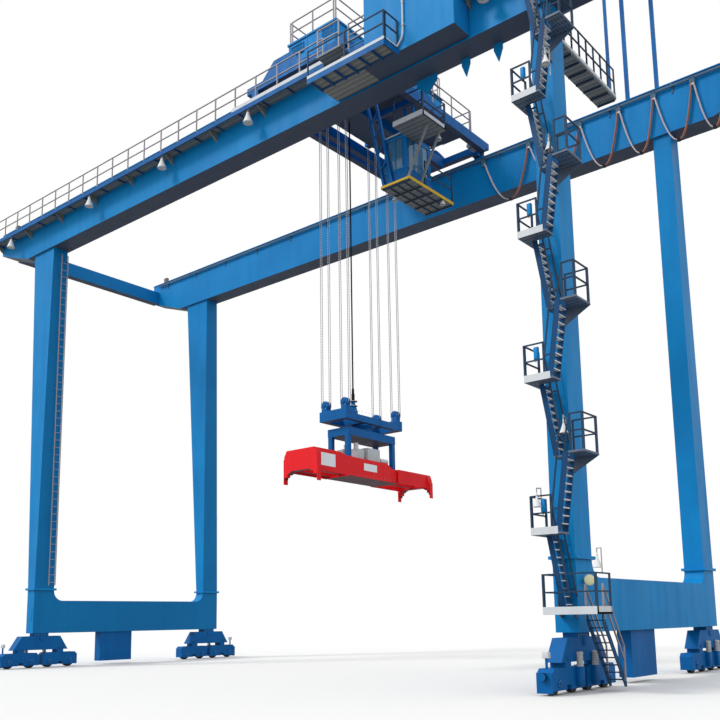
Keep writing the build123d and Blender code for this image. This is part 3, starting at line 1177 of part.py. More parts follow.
# Rotary frame under the headblock: a ring, a shallow frame with down legs at its ends
with BuildPart() as rotary_frame:
    block(
        (TROLLEY_X - ROTARY_HALF_WIDTH, -ROTARY_HALF_LENGTH, ROTARY_TOP_Z - ROTARY_DEPTH),
        (TROLLEY_X + ROTARY_HALF_WIDTH, ROTARY_HALF_LENGTH, ROTARY_TOP_Z),
    )
    with BuildSketch(Plane.XY.offset(ROTARY_TOP_Z)):
        with Locations((TROLLEY_X, 0)):
            RegularPolygon(RING_RADIUS, RING_SIDES)
    extrude(amount=HEADBLOCK_BOTTOM_Z - ROTARY_TOP_Z - PAD_CLEARANCE)
    for i in (-1, 1):
        for j, foot_z in ((-1, SPREADER_MID_Z), (1, SPREADER_LOW_Z)):
            x = TROLLEY_X + i * ROTARY_LEG_X
            y = j * ROTARY_LEG_Y
            block(
                (x - ROTARY_LEG / 2, y - ROTARY_LEG / 2, foot_z),
                (x + ROTARY_LEG / 2, y + ROTARY_LEG / 2, ROTARY_TOP_Z - ROTARY_DEPTH),
            )
finish(rotary_frame, "rotary_frame")

# Spreader core with four through pockets for the telescopic beams
BEAM_X = {"near": (-560, 140), "far": (-140, 560)}
CORE_LIFT = 80
with BuildPart() as spreader_frame:
    with BuildSketch(Plane.YZ.offset(TROLLEY_X)):
        with BuildLine():
            Polyline(
                (-SPREADER_CORE_HALF_LENGTH, SPREADER_BOTTOM_Z + CORE_LIFT),
                (SPREADER_CORE_HALF_LENGTH, SPREADER_BOTTOM_Z + CORE_LIFT),
                (SPREADER_CORE_HALF_LENGTH, SPREADER_LOW_Z),
                (SPREADER_CORE_HALF_LENGTH - 500, SPREADER_LOW_Z),
                (SPREADER_CORE_HALF_LENGTH - 800, SPREADER_MID_Z),
                (-SPREADER_CORE_HALF_LENGTH, SPREADER_MID_Z),
                close=True,
            )
        make_face()
    extrude(amount=SPREADER_CORE_HALF_WIDTH, both=True)
    for pair in BEAM_X.values():
        for x in pair:
            with Locations((TROLLEY_X + x, 0, BEAM_Z)):
                Box(
                    BEAM_WIDTH + 2 * BEAM_CLEARANCE,
                    2 * SPREADER_CORE_HALF_LENGTH + 100,
                    BEAM_HEIGHT + 2 * BEAM_CLEARANCE,
                    mode=Mode.SUBTRACT,
                )
            for k in (-1, 1):
                y = k * (SPREADER_CORE_HALF_LENGTH - PAD_LENGTH / 2)
                for m in (-1, 1):
                    z = BEAM_Z + m * (BEAM_HEIGHT / 2 + (BEAM_CLEARANCE + PAD_CLEARANCE) / 2)
                    with Locations((TROLLEY_X + x, y, z)):
                        Box(BEAM_WIDTH, PAD_LENGTH, BEAM_CLEARANCE - PAD_CLEARANCE)
finish(spreader_frame, "spreader_frame")

# Telescopic ends: an arched end beam with corner legs and guides, side plates and two pocket beams
ARCH_RISE = 120
ARCH_LEG = 420
for side, s in SIDES.items():
    plate_x = NEAR_PLATE_X if side == "near" else FAR_PLATE_X
    top_z = SPREADER_HIGH_Z if side == "near" else SPREADER_LOW_Z
    slope_y = PLATE_ROOT_Y + 850
    y_out = s * SPREADER_HALF_LENGTH
    y_in = s * (SPREADER_HALF_LENGTH - SPREADER_END_BEAM)
    with BuildPart() as spreader_end:
        with BuildSketch(Plane.XZ.offset(-y_in)):
            with BuildLine():
                Polyline(
                    (TROLLEY_X, SPREADER_BOTTOM_Z + ARCH_RISE),
                    (TROLLEY_X + SPREADER_HALF_WIDTH - ARCH_LEG, SPREADER_BOTTOM_Z + ARCH_RISE),
                    (TROLLEY_X + SPREADER_HALF_WIDTH - ARCH_LEG / 2, SPREADER_BOTTOM_Z),
                    (TROLLEY_X + SPREADER_HALF_WIDTH, SPREADER_BOTTOM_Z),
                    (TROLLEY_X + SPREADER_HALF_WIDTH, top_z - 2 * ARCH_RISE),
                    (TROLLEY_X + plate_x + SIDE_PLATE, top_z),
                    (TROLLEY_X, top_z),
                    close=True,
                )
            make_face()
            mirror(about=Plane.YZ.offset(TROLLEY_X))
        extrude(amount=-s * SPREADER_END_BEAM)
        for k in (-1, 1):
            inner_x = TROLLEY_X + k * plate_x
            with BuildSketch(Plane.YZ.offset(inner_x)):
                with BuildLine():
                    Polyline(
                        (y_in, SPREADER_BOTTOM_Z + CORE_LIFT),
                        (s * PLATE_ROOT_Y, SPREADER_BOTTOM_Z + CORE_LIFT),
                        (s * PLATE_ROOT_Y, min(top_z, SPREADER_MID_Z)),
                        (s * (slope_y - 400), min(top_z, SPREADER_MID_Z)),
                        (s * slope_y, top_z),
                        (y_in, top_z),
                        close=True,
                    )
                make_face()
            extrude(amount=k * SIDE_PLATE)
        for x in BEAM_X[side]:
            root = s * BEAM_ROOT_Y
            block(
                (TROLLEY_X + x - BEAM_WIDTH / 2, min(root, y_in), BEAM_Z - BEAM_HEIGHT / 2),
                (TROLLEY_X + x + BEAM_WIDTH / 2, max(root, y_in), BEAM_Z + BEAM_HEIGHT / 2),
            )
        for k in (-1, 1):
            pad_x = (TROLLEY_X + k * SPREADER_HALF_WIDTH, TROLLEY_X + k * (SPREADER_HALF_WIDTH - CORNER_PAD))
            pad_y = (y_out, y_out - s * CORNER_PAD)
            block(
                (min(pad_x), min(pad_y), SPREADER_BOTTOM_Z - CORNER_PAD_DEPTH),
                (max(pad_x), max(pad_y), SPREADER_BOTTOM_Z),
            )
            guide_x = (pad_x[0], pad_x[0] + k * GUIDE_THICKNESS)
            guide_y = (y_out, y_out - s * GUIDE_WIDTH)
            block((min(guide_x), min(guide_y), GUIDE_BOTTOM_Z), (max(guide_x), max(guide_y), top_z - 3 * ARCH_RISE))
    finish(spreader_end, f"{side}_spreader_end")
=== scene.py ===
import json
import math
import bpy
from mathutils import Matrix, Vector


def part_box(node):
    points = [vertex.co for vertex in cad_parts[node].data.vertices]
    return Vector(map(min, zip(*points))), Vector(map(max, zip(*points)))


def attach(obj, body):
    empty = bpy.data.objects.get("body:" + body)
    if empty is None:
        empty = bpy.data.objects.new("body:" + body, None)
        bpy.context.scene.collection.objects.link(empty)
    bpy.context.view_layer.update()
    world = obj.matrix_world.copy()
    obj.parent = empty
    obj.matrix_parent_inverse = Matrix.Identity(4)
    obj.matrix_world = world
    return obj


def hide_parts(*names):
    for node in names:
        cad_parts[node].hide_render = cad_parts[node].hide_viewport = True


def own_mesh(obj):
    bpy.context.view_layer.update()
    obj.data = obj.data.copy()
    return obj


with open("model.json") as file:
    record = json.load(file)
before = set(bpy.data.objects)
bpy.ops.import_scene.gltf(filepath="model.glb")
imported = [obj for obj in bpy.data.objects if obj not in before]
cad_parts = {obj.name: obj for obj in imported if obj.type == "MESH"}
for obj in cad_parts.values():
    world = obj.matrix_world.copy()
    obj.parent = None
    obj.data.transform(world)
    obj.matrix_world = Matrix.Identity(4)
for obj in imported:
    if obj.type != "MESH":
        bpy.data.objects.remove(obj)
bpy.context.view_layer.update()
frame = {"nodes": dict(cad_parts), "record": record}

bpy.ops.object.select_all(action="DESELECT")


# Colours and shader nodes

def paint(code):
    """Linear colour of an sRGB hex value such as "1F78B8"."""
    levels = [int(code[i:i + 2], 16) / 255 for i in (0, 2, 4)]
    linear = [v / 12.92 if v <= 0.04045 else ((v + 0.055) / 1.055) ** 2.4 for v in levels]
    return (*linear, 1.0)


def add_node(tree, kind, inputs=(), settings=None):
    """Add a node, set its properties, and fill or link its inputs, named or in their order. Gives
    its outputs."""
    made = tree.nodes.new("ShaderNode" + kind)
    for key, value in (settings or {}).items():
        setattr(made, key, value)
    for key, value in (inputs.items() if isinstance(inputs, dict) else enumerate(inputs)):
        if isinstance(value, bpy.types.NodeSocket):
            tree.links.new(value, made.inputs[key])
        else:
            made.inputs[key].default_value = value
    return made.outputs


def new_material(name):
    """An empty node material, its tree, and the place on the object that it reads."""
    made = bpy.data.materials.new(name)
    made.use_nodes = True
    made.node_tree.nodes.clear()
    return made, made.node_tree, add_node(made.node_tree, "TexCoord")["Object"]


# A Mix node's sockets when it blends two colours. A MapRange node's inputs are given in their order:
# the value, the range that it comes from and the range that it goes to.
COLOURS = {"data_type": "RGBA"}
SHARE, FIRST, SECOND, BLEND = 0, 6, 7, 2
MULTIPLY = {"operation": "MULTIPLY"}

# Paint on steel plate. Two-pack polyurethane, sprayed: glossy, with faint waves in the film, a slow
# drift of tone from panel to panel, and rain streaks that run down the plates.

# the tone changes over some two metres
DRIFT = 0.45
# streaks some 0.4 m wide and four metres long
STREAK = (2.2, 2.2, 0.25)
# waves 0.1 m apart, far coarser than real ones, so that they show
WAVES = 9.0
# dark grey on what faces down: soot and brake dust, and painted shade of the undersides
UNDERSIDE_SOOT_AND_SHADE = "4C4D56"
UNDERSIDE_SOOT_AND_SHADE_SHARE = 0.92
# metres from one butt weld to the next, and a weld's drawn width
PLATE_SEAM = 2.4
WELD_WIDTH = 0.035
WELD_SHARE = 0.45
GRATING_DUST = "8E8C86"


def facing(tree):
    """How a surface lies: 1 facing up, -1 facing down and 0 on a wall."""
    normal = add_node(tree, "TexCoord")["Normal"]
    return add_node(tree, "SeparateXYZ", (normal,))["Z"]


def painted(name, light, dark, grime, roughness, grime_share=0.22, seams=0.0):
    """A sprayed coat, with welds across X where seams gives the metres between them."""
    made, tree, place = new_material(name)
    drift = add_node(tree, "TexNoise", {"Vector": place, "Scale": DRIFT, "Detail": 3.0})["Fac"]
    inputs = {SHARE: drift, FIRST: paint(dark), SECOND: paint(light)}
    colour = add_node(tree, "Mix", inputs, COLOURS)[BLEND]
    stretch = add_node(tree, "Mapping", {"Vector": place, "Scale": STREAK})
    streak = add_node(tree, "TexNoise", {"Vector": stretch[0], "Scale": 1.0, "Detail": 4.0})["Fac"]
    share = add_node(tree, "MapRange", (streak, 0.52, 0.80, 0.0, grime_share))[0]
    colour = add_node(tree, "Mix", {SHARE: share, FIRST: colour, SECOND: paint(grime)}, COLOURS)[BLEND]
    # what faces down is darkened: partly soot and brake dust that no rain washes off, partly painted shade
    # of the undersides
    soot_and_shade = add_node(tree, "MapRange", (facing(tree), -0.9, -0.3, UNDERSIDE_SOOT_AND_SHADE_SHARE, 0.0))[0]
    colour = add_node(tree, "Mix", {SHARE: soot_and_shade, FIRST: colour, SECOND: paint(UNDERSIDE_SOOT_AND_SHADE)}, COLOURS)[BLEND]
    height = add_node(tree, "TexNoise", {"Vector": place, "Scale": WAVES, "Detail": 2.0})["Fac"]
    if seams:
        # ground nearly flush, and drawn three times as wide as in fact, so that they show
        split = add_node(tree, "SeparateXYZ", (place,))
        turns = add_node(tree, "Math", (split["X"], 1 / seams), MULTIPLY)
        wave = add_node(tree, "Math", (turns[0],), {"operation": "FRACT"})[0]
        weld = add_node(tree, "MapRange", (wave, 0.0, WELD_WIDTH / seams, 1.0, 0.0))[0]
        faint = add_node(tree, "Math", (weld, WELD_SHARE), MULTIPLY)
        inputs = {SHARE: faint[0], FIRST: colour, SECOND: paint(grime)}
        colour = add_node(tree, "Mix", inputs, COLOURS)[BLEND]
        height = add_node(tree, "Math", (height, weld), {"operation": "ADD"})[0]
    # dust makes the streaks duller
    dull = add_node(tree, "MapRange", (streak, 0.3, 0.8, roughness, roughness + 0.2))[0]
    bump = add_node(tree, "Bump", {"Height": height, "Strength": 0.15, "Distance": 0.01})[0]
    inputs = {"Base Color": colour, "Roughness": dull, "Normal": bump, "Specular IOR Level": 0.12}
    shader = add_node(tree, "BsdfPrincipled", inputs)
    add_node(tree, "OutputMaterial", (shader[0],))
    return made


def bare_metal(name, base, worn, metallic, roughness, scale):
    """Unpainted steel: mill or zinc patches over a metallic base. A scale of 10 makes them 0.1 m wide."""
    made, tree, place = new_material(name)
    patch = add_node(tree, "TexVoronoi", {"Vector": place, "Scale": scale})
    cloud = add_node(tree, "TexNoise", {"Vector": place, "Scale": scale * 0.4, "Detail": 4.0})["Fac"]
    share = add_node(tree, "Math", (patch["Distance"], cloud), MULTIPLY)
    inputs = {SHARE: share[0], FIRST: paint(base), SECOND: paint(worn)}
    colour = add_node(tree, "Mix", inputs, COLOURS)[BLEND]
    dull = add_node(tree, "MapRange", (cloud, 0.0, 1.0, roughness, roughness + 0.25))[0]
    inputs = {"Base Color": colour, "Roughness": dull, "Metallic": metallic}
    shader = add_node(tree, "BsdfPrincipled", inputs)
    add_node(tree, "OutputMaterial", (shader[0],))
    return made


def grating(name, bar, gap, roughness, pitch):
    """Welded bar grating: load bars across the walking way. The real pitch is 30 mm, and it is drawn
    coarser so that it shows."""
    made, tree, place = new_material(name)
    split = add_node(tree, "SeparateXYZ", (place,))
    lines = []
    for axis, spacing in (("X", pitch), ("Y", pitch * 2.5)):
        turns = add_node(tree, "Math", (split[axis], 1 / spacing), MULTIPLY)
        wave = add_node(tree, "Math", (turns[0], 0.5), {"operation": "PINGPONG"})
        lines.append(add_node(tree, "MapRange", (wave[0], 0.12, 0.26, 0.0, 1.0))[0])
    both = add_node(tree, "Math", (lines[0], lines[1]), MULTIPLY)
    # the bars lie flat: edges and gussets are plain plate
    flat = add_node(tree, "Math", (facing(tree),), {"operation": "ABSOLUTE"})
    level = add_node(tree, "MapRange", (flat[0], 0.5, 0.8, 0.0, 1.0))[0]
    holes = add_node(tree, "Math", (both[0], level), MULTIPLY)[0]
    # dust lies on the bars in clouds some 0.6 m across
    cloud = add_node(tree, "TexNoise", {"Vector": place, "Scale": 1.6, "Detail": 3.0})
    dust = add_node(tree, "MapRange", (cloud["Fac"], 0.4, 0.7, 0.0, 0.3))[0]
    inputs = {SHARE: dust, FIRST: paint(bar), SECOND: paint(GRATING_DUST)}
    dusty = add_node(tree, "Mix", inputs, COLOURS)[BLEND]
    colour = add_node(tree, "Mix", {SHARE: holes, FIRST: dusty, SECOND: paint(gap)}, COLOURS)[BLEND]
    inputs = {"Height": holes, "Strength": 0.5, "Distance": 0.02}
    bump = add_node(tree, "Bump", inputs, {"invert": True})[0]
    inputs = {"Base Color": colour, "Roughness": roughness, "Normal": bump}
    shader = add_node(tree, "BsdfPrincipled", inputs)
    add_node(tree, "OutputMaterial", (shader[0],))
    return made


def stranded_rope(name, light, dark):
    """Wire rope: strands that wind round it, drawn at a lay of some 0.12 m so that they show."""
    made, tree, place = new_material(name)
    settings = {"wave_type": "BANDS", "bands_direction": "DIAGONAL"}
    inputs = {"Vector": place, "Scale": 5.0, "Distortion": 0.4}
    strand = add_node(tree, "TexWave", inputs, settings)["Fac"]
    inputs = {SHARE: strand, FIRST: paint(dark), SECOND: paint(light)}
    colour = add_node(tree, "Mix", inputs, COLOURS)[BLEND]
    bump = add_node(tree, "Bump", {"Height": strand, "Strength": 0.4, "Distance": 0.004})[0]
    inputs = {"Base Color": colour, "Roughness": 0.5, "Metallic": 0.15, "Normal": bump}
    shader = add_node(tree, "BsdfPrincipled", inputs)
    add_node(tree, "OutputMaterial", (shader[0],))
    return made


def clear_glass(name, tint, transmission):
    """Float glass: nearly mirror smooth, with a light tint in its thickness. Its film of dirt changes
    over half a metre."""
    made, tree, place = new_material(name)
    film = add_node(tree, "TexNoise", {"Vector": place, "Scale": 2.0, "Detail": 1.0})
    dull = add_node(tree, "MapRange", (film["Fac"], 0.3, 0.7, 0.03, 0.09))[0]
    inputs = {"Base Color": paint(tint), "Roughness": dull, "Transmission Weight": transmission, "IOR": 1.5}
    shader = add_node(tree, "BsdfPrincipled", inputs)
    add_node(tree, "OutputMaterial", (shader[0],))
    return made


FINISH = {
    # two-pack polyurethane on the girders, legs and sills, with the welds between plates
    "structure_blue": painted(
        "polyurethane_blue_plate", "0C94DA", "0878BC", "12649C", 0.42, seams=PLATE_SEAM,
    ),
    # the same paint a shade deeper, on the machine parts
    "deep_blue": painted("polyurethane_deep_blue_plate", "0C72BC", "065496", "104E82", 0.42),
    # galvanised tube that has gone dull and faintly brown
    "railing_paint": painted("galvanised_handrail_tube", "B8B0B4", "9A959C", "7A706E", 0.42),
    "deck_steel": grating("welded_bar_grating", "8C8E86", "62666A", 0.60, 0.10),
    "galvanised": grating("galvanised_tread_grating", "E6EAED", "A8B0B6", 0.45, 0.12),
    # stove-enamelled sheet of the two houses, smooth and even
    "house_blue": painted("stoved_cladding_sheet", "1C90D6", "1482C8", "1C72AC", 0.46, 0.08),
    "rail_steel": bare_metal("rolled_rail_steel", "5A5450", "8A8480", 0.8, 0.35, 8.0),
    "wheel_steel": bare_metal("cast_wheel_steel", "34363A", "5A5C60", 0.8, 0.40, 10.0),
    "rope_steel": stranded_rope("stranded_steel_rope", "CFCFD2", "97979C"),
    "cable_black": painted("extruded_rubber_sheath", "1E1E20", "121214", "2A2826", 0.60),
    # white stove enamel on the lamp shades
    "lamp_white": painted("spun_white_enamel", "F2F4F4", "E4E8EA", "C8C8C4", 0.30, 0.2),
    "spreader_red": painted("polyurethane_signal_red_plate", "FA2A30", "EE1E28", "B02028", 0.40),
    "window_glass": clear_glass("tinted_float_glass", "6FA6CC", 0.6),
}
TOE_PLATE = painted("light_enamel_toe_plate", "E2E7EC", "CFD6DC", "B4B8BA", 0.40, 0.25)
BLANK_PLATE = painted("bare_pale_name_plate", "FBFCFE", "F2F5FA", "D0D4D8", 0.30, 0.1)
MACHINE_GREY = painted("hammered_grey_enamel", "D6DADB", "B4B9BB", "8C8E8E", 0.45)
ZINC = bare_metal("zinc_plated_fastener", "9EA2A6", "C4C8CA", 0.8, 0.35, 30.0)
YELLOW = painted("safety_yellow_enamel", "E8C23A", "D8AE22", "A88C3C", 0.38)
RUBBER = painted("moulded_black_rubber", "242426", "161618", "38342F", 0.70, 0.5)
# one festoon cable in two tones: pale is a painted highlight on the loops' left halves, brown is painted
# shade on their right halves
PAINTED_HIGHLIGHT_SHEATH = painted("rubber_sheath_painted_highlight", "DDD3D2", "C4B8BA", "9A8480", 0.60)
PAINTED_SHADE_SHEATH = painted("rubber_sheath_painted_shade", "C08A78", "A46A56", "7C5446", 0.62)
LENS = clear_glass("frosted_lamp_lens", "F4F2E2", 0.3)
PALE_YELLOW_LENS = clear_glass("pale_yellow_lamp_lens", "FBFAC4", 0.05)
# the tube of the stair, cab and house railings, painted dark and duller than the girders
DARK_TUBE = painted("dark_blue_handrail_tube", "34506E", "22384F", "3A4148", 0.45)
DARK_STRINGER = painted("dark_blue_stair_string", "1D5488", "12395F", "1C3A56", 0.42)
DULL_TRACK = painted("dull_painted_track", "5A7A94", "46627A", "3C4E5C", 0.50)
DARK_LANDING = grating("dark_blue_landing_plate", "4C6480", "33485F", 0.55, 0.10)
GREY_DECK = grating("grey_bar_grating", "7A838A", "565E64", 0.60, 0.10)

# nodes whose finish isn't their slot's
OWN_FINISH = {}
for finish, nodes in (
    (DARK_LANDING, ("stair_landings",)),
    (GREY_DECK, ("cab_deck", "boarding_platform")),
    (DARK_TUBE, ("stair_railings", "landing_railing", "cab_railing", "boarding_railing")),
    (DARK_STRINGER, ("stair_stringers", "ground_stair")),
    (FINISH["deep_blue"], ("near_left_bogie", "near_right_bogie", "far_left_bogie", "far_right_bogie")),
    (FINISH["deep_blue"], ("rail_clamps",)),
    (DULL_TRACK, ("festoon_track", "festoon_carriages")),
):
    OWN_FINISH.update(dict.fromkeys(nodes, finish))

slot_of = {part["node"]: part["material_slot"] for part in frame["record"]["subparts"]}
for name, obj in frame["nodes"].items():
    obj.data.materials.clear()
    obj.data.materials.append(OWN_FINISH.get(name, FINISH[slot_of[name]]))


# Ways of making a piece

ORIGIN = (0, 0, 0)
UP, DOWN = (0, 0, 1), (0, 0, -1)
SIDES = (-1, 1)
SMOOTH_BELOW = math.radians(35)


def choose(*pieces):
    """Select these pieces alone, the first of them active."""
    bpy.ops.object.select_all(action="DESELECT")
    for piece in pieces:
        piece.select_set(True)
    bpy.context.view_layer.objects.active = pieces[0]


def block(corner, opposite):
    """A square-edged block between two opposite corners."""
    low, high = zip(*(sorted(pair) for pair in zip(corner, opposite)))
    middle = [(a + b) / 2 for a, b in zip(low, high)]
    bpy.ops.mesh.primitive_cube_add(size=1, location=middle, scale=[b - a for a, b in zip(low, high)])
    bpy.ops.object.transform_apply()
    return bpy.context.active_object


def rod(start, end, radius, sides=12):
    """A round bar between two points."""
    start, end = Vector(start), Vector(end)
    line = end - start
    bpy.ops.mesh.primitive_cylinder_add(
        vertices=sides, radius=radius, depth=line.length, location=(start + end) / 2,
        rotation=line.to_track_quat("Z", "Y").to_euler(),
    )
    bpy.ops.object.transform_apply()
    return bpy.context.active_object


def turned(foot, way, rings, sides=24):
    """A round piece drawn out of a disc, ring by ring. A ring is a radius and how far it lies
    from the foot along the given way."""
    radius, reach = rings[0]
    start = (0, 0, reach)
    bpy.ops.mesh.primitive_circle_add(vertices=sides, radius=radius, fill_type="NGON", location=start)
    piece = bpy.context.active_object
    bpy.ops.object.transform_apply()
    bpy.ops.object.mode_set(mode="EDIT")
    for wide, far in rings[1:]:
        bpy.ops.mesh.extrude_region_move(TRANSFORM_OT_translate={"value": (0, 0, far - reach)})
        bpy.ops.transform.resize(value=(wide / radius, wide / radius, 1), center_override=(0, 0, far))
        radius, reach = wide, far
    bpy.ops.mesh.select_all(action="SELECT")
    bpy.ops.mesh.normals_make_consistent(inside=False)
    bpy.ops.object.mode_set(mode="OBJECT")
    piece.rotation_euler = Vector(way).to_track_quat("Z", "Y").to_euler()
    piece.location = foot
    bpy.ops.object.transform_apply()
    return piece


def eased(piece, edge, segments=1):
    """Break the piece's sharp edges."""
    choose(piece)
    bpy.ops.object.modifier_add(type="BEVEL")
    bevel = piece.modifiers[-1]
    bevel.width = edge
    bevel.segments = segments
    bevel.limit_method = "ANGLE"
    bpy.ops.object.modifier_apply(modifier=bevel.name)
    return piece


def repeated(piece, count, step):
    """A row of the piece, each a step further."""
    choose(piece)
    bpy.ops.object.modifier_add(type="ARRAY")
    row = piece.modifiers[-1]
    row.count = count
    row.use_relative_offset = False
    row.use_constant_offset = True
    row.constant_offset_displace = step
    bpy.ops.object.modifier_apply(modifier=row.name)
    return piece


def welded(pieces):
    """The pieces as one."""
    choose(*pieces)
    if len(pieces) > 1:
        bpy.ops.object.join()
    return bpy.context.active_object


def twin(piece, move=ORIGIN, flip=None):
    """A copy with its own mesh, moved or flipped over a plane through the origin."""
    made = piece.copy()
    made.data = piece.data.copy()
    bpy.context.collection.objects.link(made)
    if flip:
        made.data.transform(Matrix.Scale(-1, 4, Vector(flip)))
        made.data.flip_normals()
    made.data.transform(Matrix.Translation(move))
    return made


def spread(piece, places):
    """The piece at each of the places, as one; it was made about the origin."""
    made = [twin(piece, place) for place in places]
    bpy.data.objects.remove(piece)
    return welded(made)


def fitted(pieces, name, body, slot, finish=None, edge=0, segments=1):
    """Join the pieces, break their edges, name the result, give it its finish (its slot's own, if no
    other is given) and fix it to the body that carries it."""
    piece = welded(pieces)
    if edge:
        eased(piece, edge, segments)
    piece.name = name
    piece.data.name = name
    piece.data.materials.clear()
    piece.data.materials.append(finish or FINISH[slot])
    choose(piece)
    bpy.ops.object.shade_smooth_by_angle(angle=SMOOTH_BELOW)
    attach(piece, body)
    return piece


def bolt_row(start, step, count, radius, way, height):
    """Hexagon bolt heads in a row."""
    head = turned(start, way, [(radius, 0), (radius, height * 0.8), (radius * 0.8, height)], 6)
    return repeated(head, count, step)


def ring_of_six(radius, first):
    """Six places round a circle, the first one turned by some degrees."""
    turns = [math.radians(60 * k + first) for k in range(6)]
    return [(radius * math.cos(turn), radius * math.sin(turn)) for turn in turns]


def fins(root, tip, start, pitch, width, count):
    """Rings of a motor's cooling fins."""
    rings = []
    for k in range(count):
        foot = start + k * pitch
        rings += [(root, foot), (tip, foot + 0.005), (tip, foot + width - 0.005), (root, foot + width)]
    return rings


RIGHT_MID_X = 14.775
LEFT_MID_X = -14.71
CORNER_Y = 5.485


# Lamps

LAMP_BELL = [
    (0.030, 0.00), (0.030, 0.10), (0.052, 0.11), (0.052, 0.15), (0.032, 0.16), (0.032, 0.21),
    (0.060, 0.23), (0.068, 0.30), (0.100, 0.40), (0.150, 0.53), (0.195, 0.64), (0.223, 0.71),
    (0.223, 0.72), (0.205, 0.715), (0.140, 0.58), (0.070, 0.42),
]
LENS_FACE = [(0.10, 0.60), (0.185, 0.655), (0.188, 0.67), (0.12, 0.70)]
FLOOD_X = (-17.9, -10.3, -4.45, 1.35, 6.65, 13.0)
FLOOD_Y = -6.34
FLOOD_TOP_Z = 23.71


def make_floodlights():
    """Bell shades on a stem under the walkway's edge."""
    places = [(x, FLOOD_Y, FLOOD_TOP_Z) for x in FLOOD_X]
    bells = spread(turned(ORIGIN, DOWN, LAMP_BELL, 32), places)
    fitted([bells], "floodlight_shades", "gantry", "lamp_white")
    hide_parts("floodlights")
    lenses = spread(turned(ORIGIN, DOWN, LENS_FACE), places)
    fitted([lenses], "floodlight_lenses", "gantry", "window_glass", LENS)


SMALL_BELL = [(0.6 * radius, 0.6 * reach) for radius, reach in LAMP_BELL]
# where each shade hangs, and the point of the stair or leg that its arm comes from
STAIR_LAMPS = (
    ((15.25, -6.55, 7.95), (15.10, -6.09, 7.60)),
    ((15.25, -6.55, 16.95), (15.10, -6.10, 16.60)),
    ((15.62, -7.22, 19.40), (15.70, -7.11, 18.60)),
    ((16.10, -6.62, 3.95), (16.23, -6.62, 3.38)),
    ((14.62, -7.22, 5.75), (14.70, -7.11, 5.45)),
)
SWAN_NECK = 0.12
ARM_RADIUS = 0.018
KNEE_LAMP = (15.36, -5.62, 3.22)
KNEE_LAMP_FOOT = (15.23, -5.45, 3.22)
KNEE_LAMP_WAY = (0.62, -0.76, 0.05)
KNEE_LAMP_BACK = [(0.06, -0.16), (0.11, -0.14), (0.15, -0.05), (0.165, 0.0), (0.165, 0.02)]
KNEE_LAMP_FACE = [(0.15, 0.015), (0.15, 0.03), (0.11, 0.045), (0.05, 0.05)]


def make_stair_lamps():
    """Small bell shades on swan necks, and the round lamp at the leg's foot."""
    arms = []
    for head, foot in STAIR_LAMPS:
        crown = (head[0], head[1], head[2] + SWAN_NECK)
        elbow = (foot[0], foot[1], crown[2])
        arms += [rod(a, b, ARM_RADIUS, 8) for a, b in ((foot, elbow), (elbow, crown), (crown, head))]
    fitted(arms, "stair_lamp_arms", "gantry", "galvanised", ZINC)
    shades = spread(turned(ORIGIN, DOWN, SMALL_BELL), [head for head, foot in STAIR_LAMPS])
    fitted([shades], "stair_lamp_shades", "gantry", "lamp_white")
    back = turned(KNEE_LAMP, KNEE_LAMP_WAY, KNEE_LAMP_BACK)
    yoke = rod(KNEE_LAMP_FOOT, KNEE_LAMP, 0.03, 8)
    fitted([back, yoke], "knee_lamp_housing", "gantry", "galvanised", MACHINE_GREY)
    face = turned(KNEE_LAMP, KNEE_LAMP_WAY, KNEE_LAMP_FACE)
    fitted([face], "knee_lamp_lens", "gantry", "window_glass", PALE_YELLOW_LENS)


# Walkway, stair and platforms

WALK_Z = 23.77
WALK_EDGE_Y = -6.46
WALK_CHANNEL_Z = 23.56
# stretches of the walkway's edge that have a channel
CHANNEL_RUNS = ((-19.75, 5.80), (7.00, 8.09), (12.11, 13.90), (15.70, 19.75))
STAIR_NEAR_Y = -7.135
STAIR_FAR_Y = -6.135
LANDING_Z = 2.28
LANDING_RISE = 2.29
LEFT_LANDINGS_Z = [LANDING_Z + LANDING_RISE * i for i in (1, 3, 5, 7)]
# the landing of the electrical house
HOUSE_DECK_X = (6.00, 9.70)
HOUSE_EDGE_Y = -7.65
HOUSE_DECK_BACK_Y = -6.80
HOUSE_DECK_Z = 22.42
HOUSE_FASCIA_Z = (22.14, 22.36)
BOARDING_Y = (-4.90, -0.66)
BOARDING_Z = 21.20
GANGWAY_Z = 21.42
# the lowest landing's two ends, the left landings' end and the boarding platform's two sides
LANDING_X = (14.60, 16.26)
LEFT_LANDING_X = 14.33
BOARDING_X = (14.40, 15.15)
TOE = 0.012
TOE_LIP = 0.008
TOE_BELOW = 0.06
TOE_HEIGHT = 0.16
LOW_TOE = 0.06


def toe_x(x0, x1, edge_y, z, height=TOE_HEIGHT):
    """Toe plate along X, its outer face just outside the deck's edge."""
    y = edge_y - TOE_LIP
    return block((x0, y, z - TOE_BELOW), (x1, y + TOE, z + height))


def toe_y(y0, y1, x, z, height=TOE_HEIGHT):
    """Toe plate along Y, its middle at x."""
    return block((x - TOE / 2, y0, z - TOE_BELOW), (x + TOE / 2, y1, z + height))


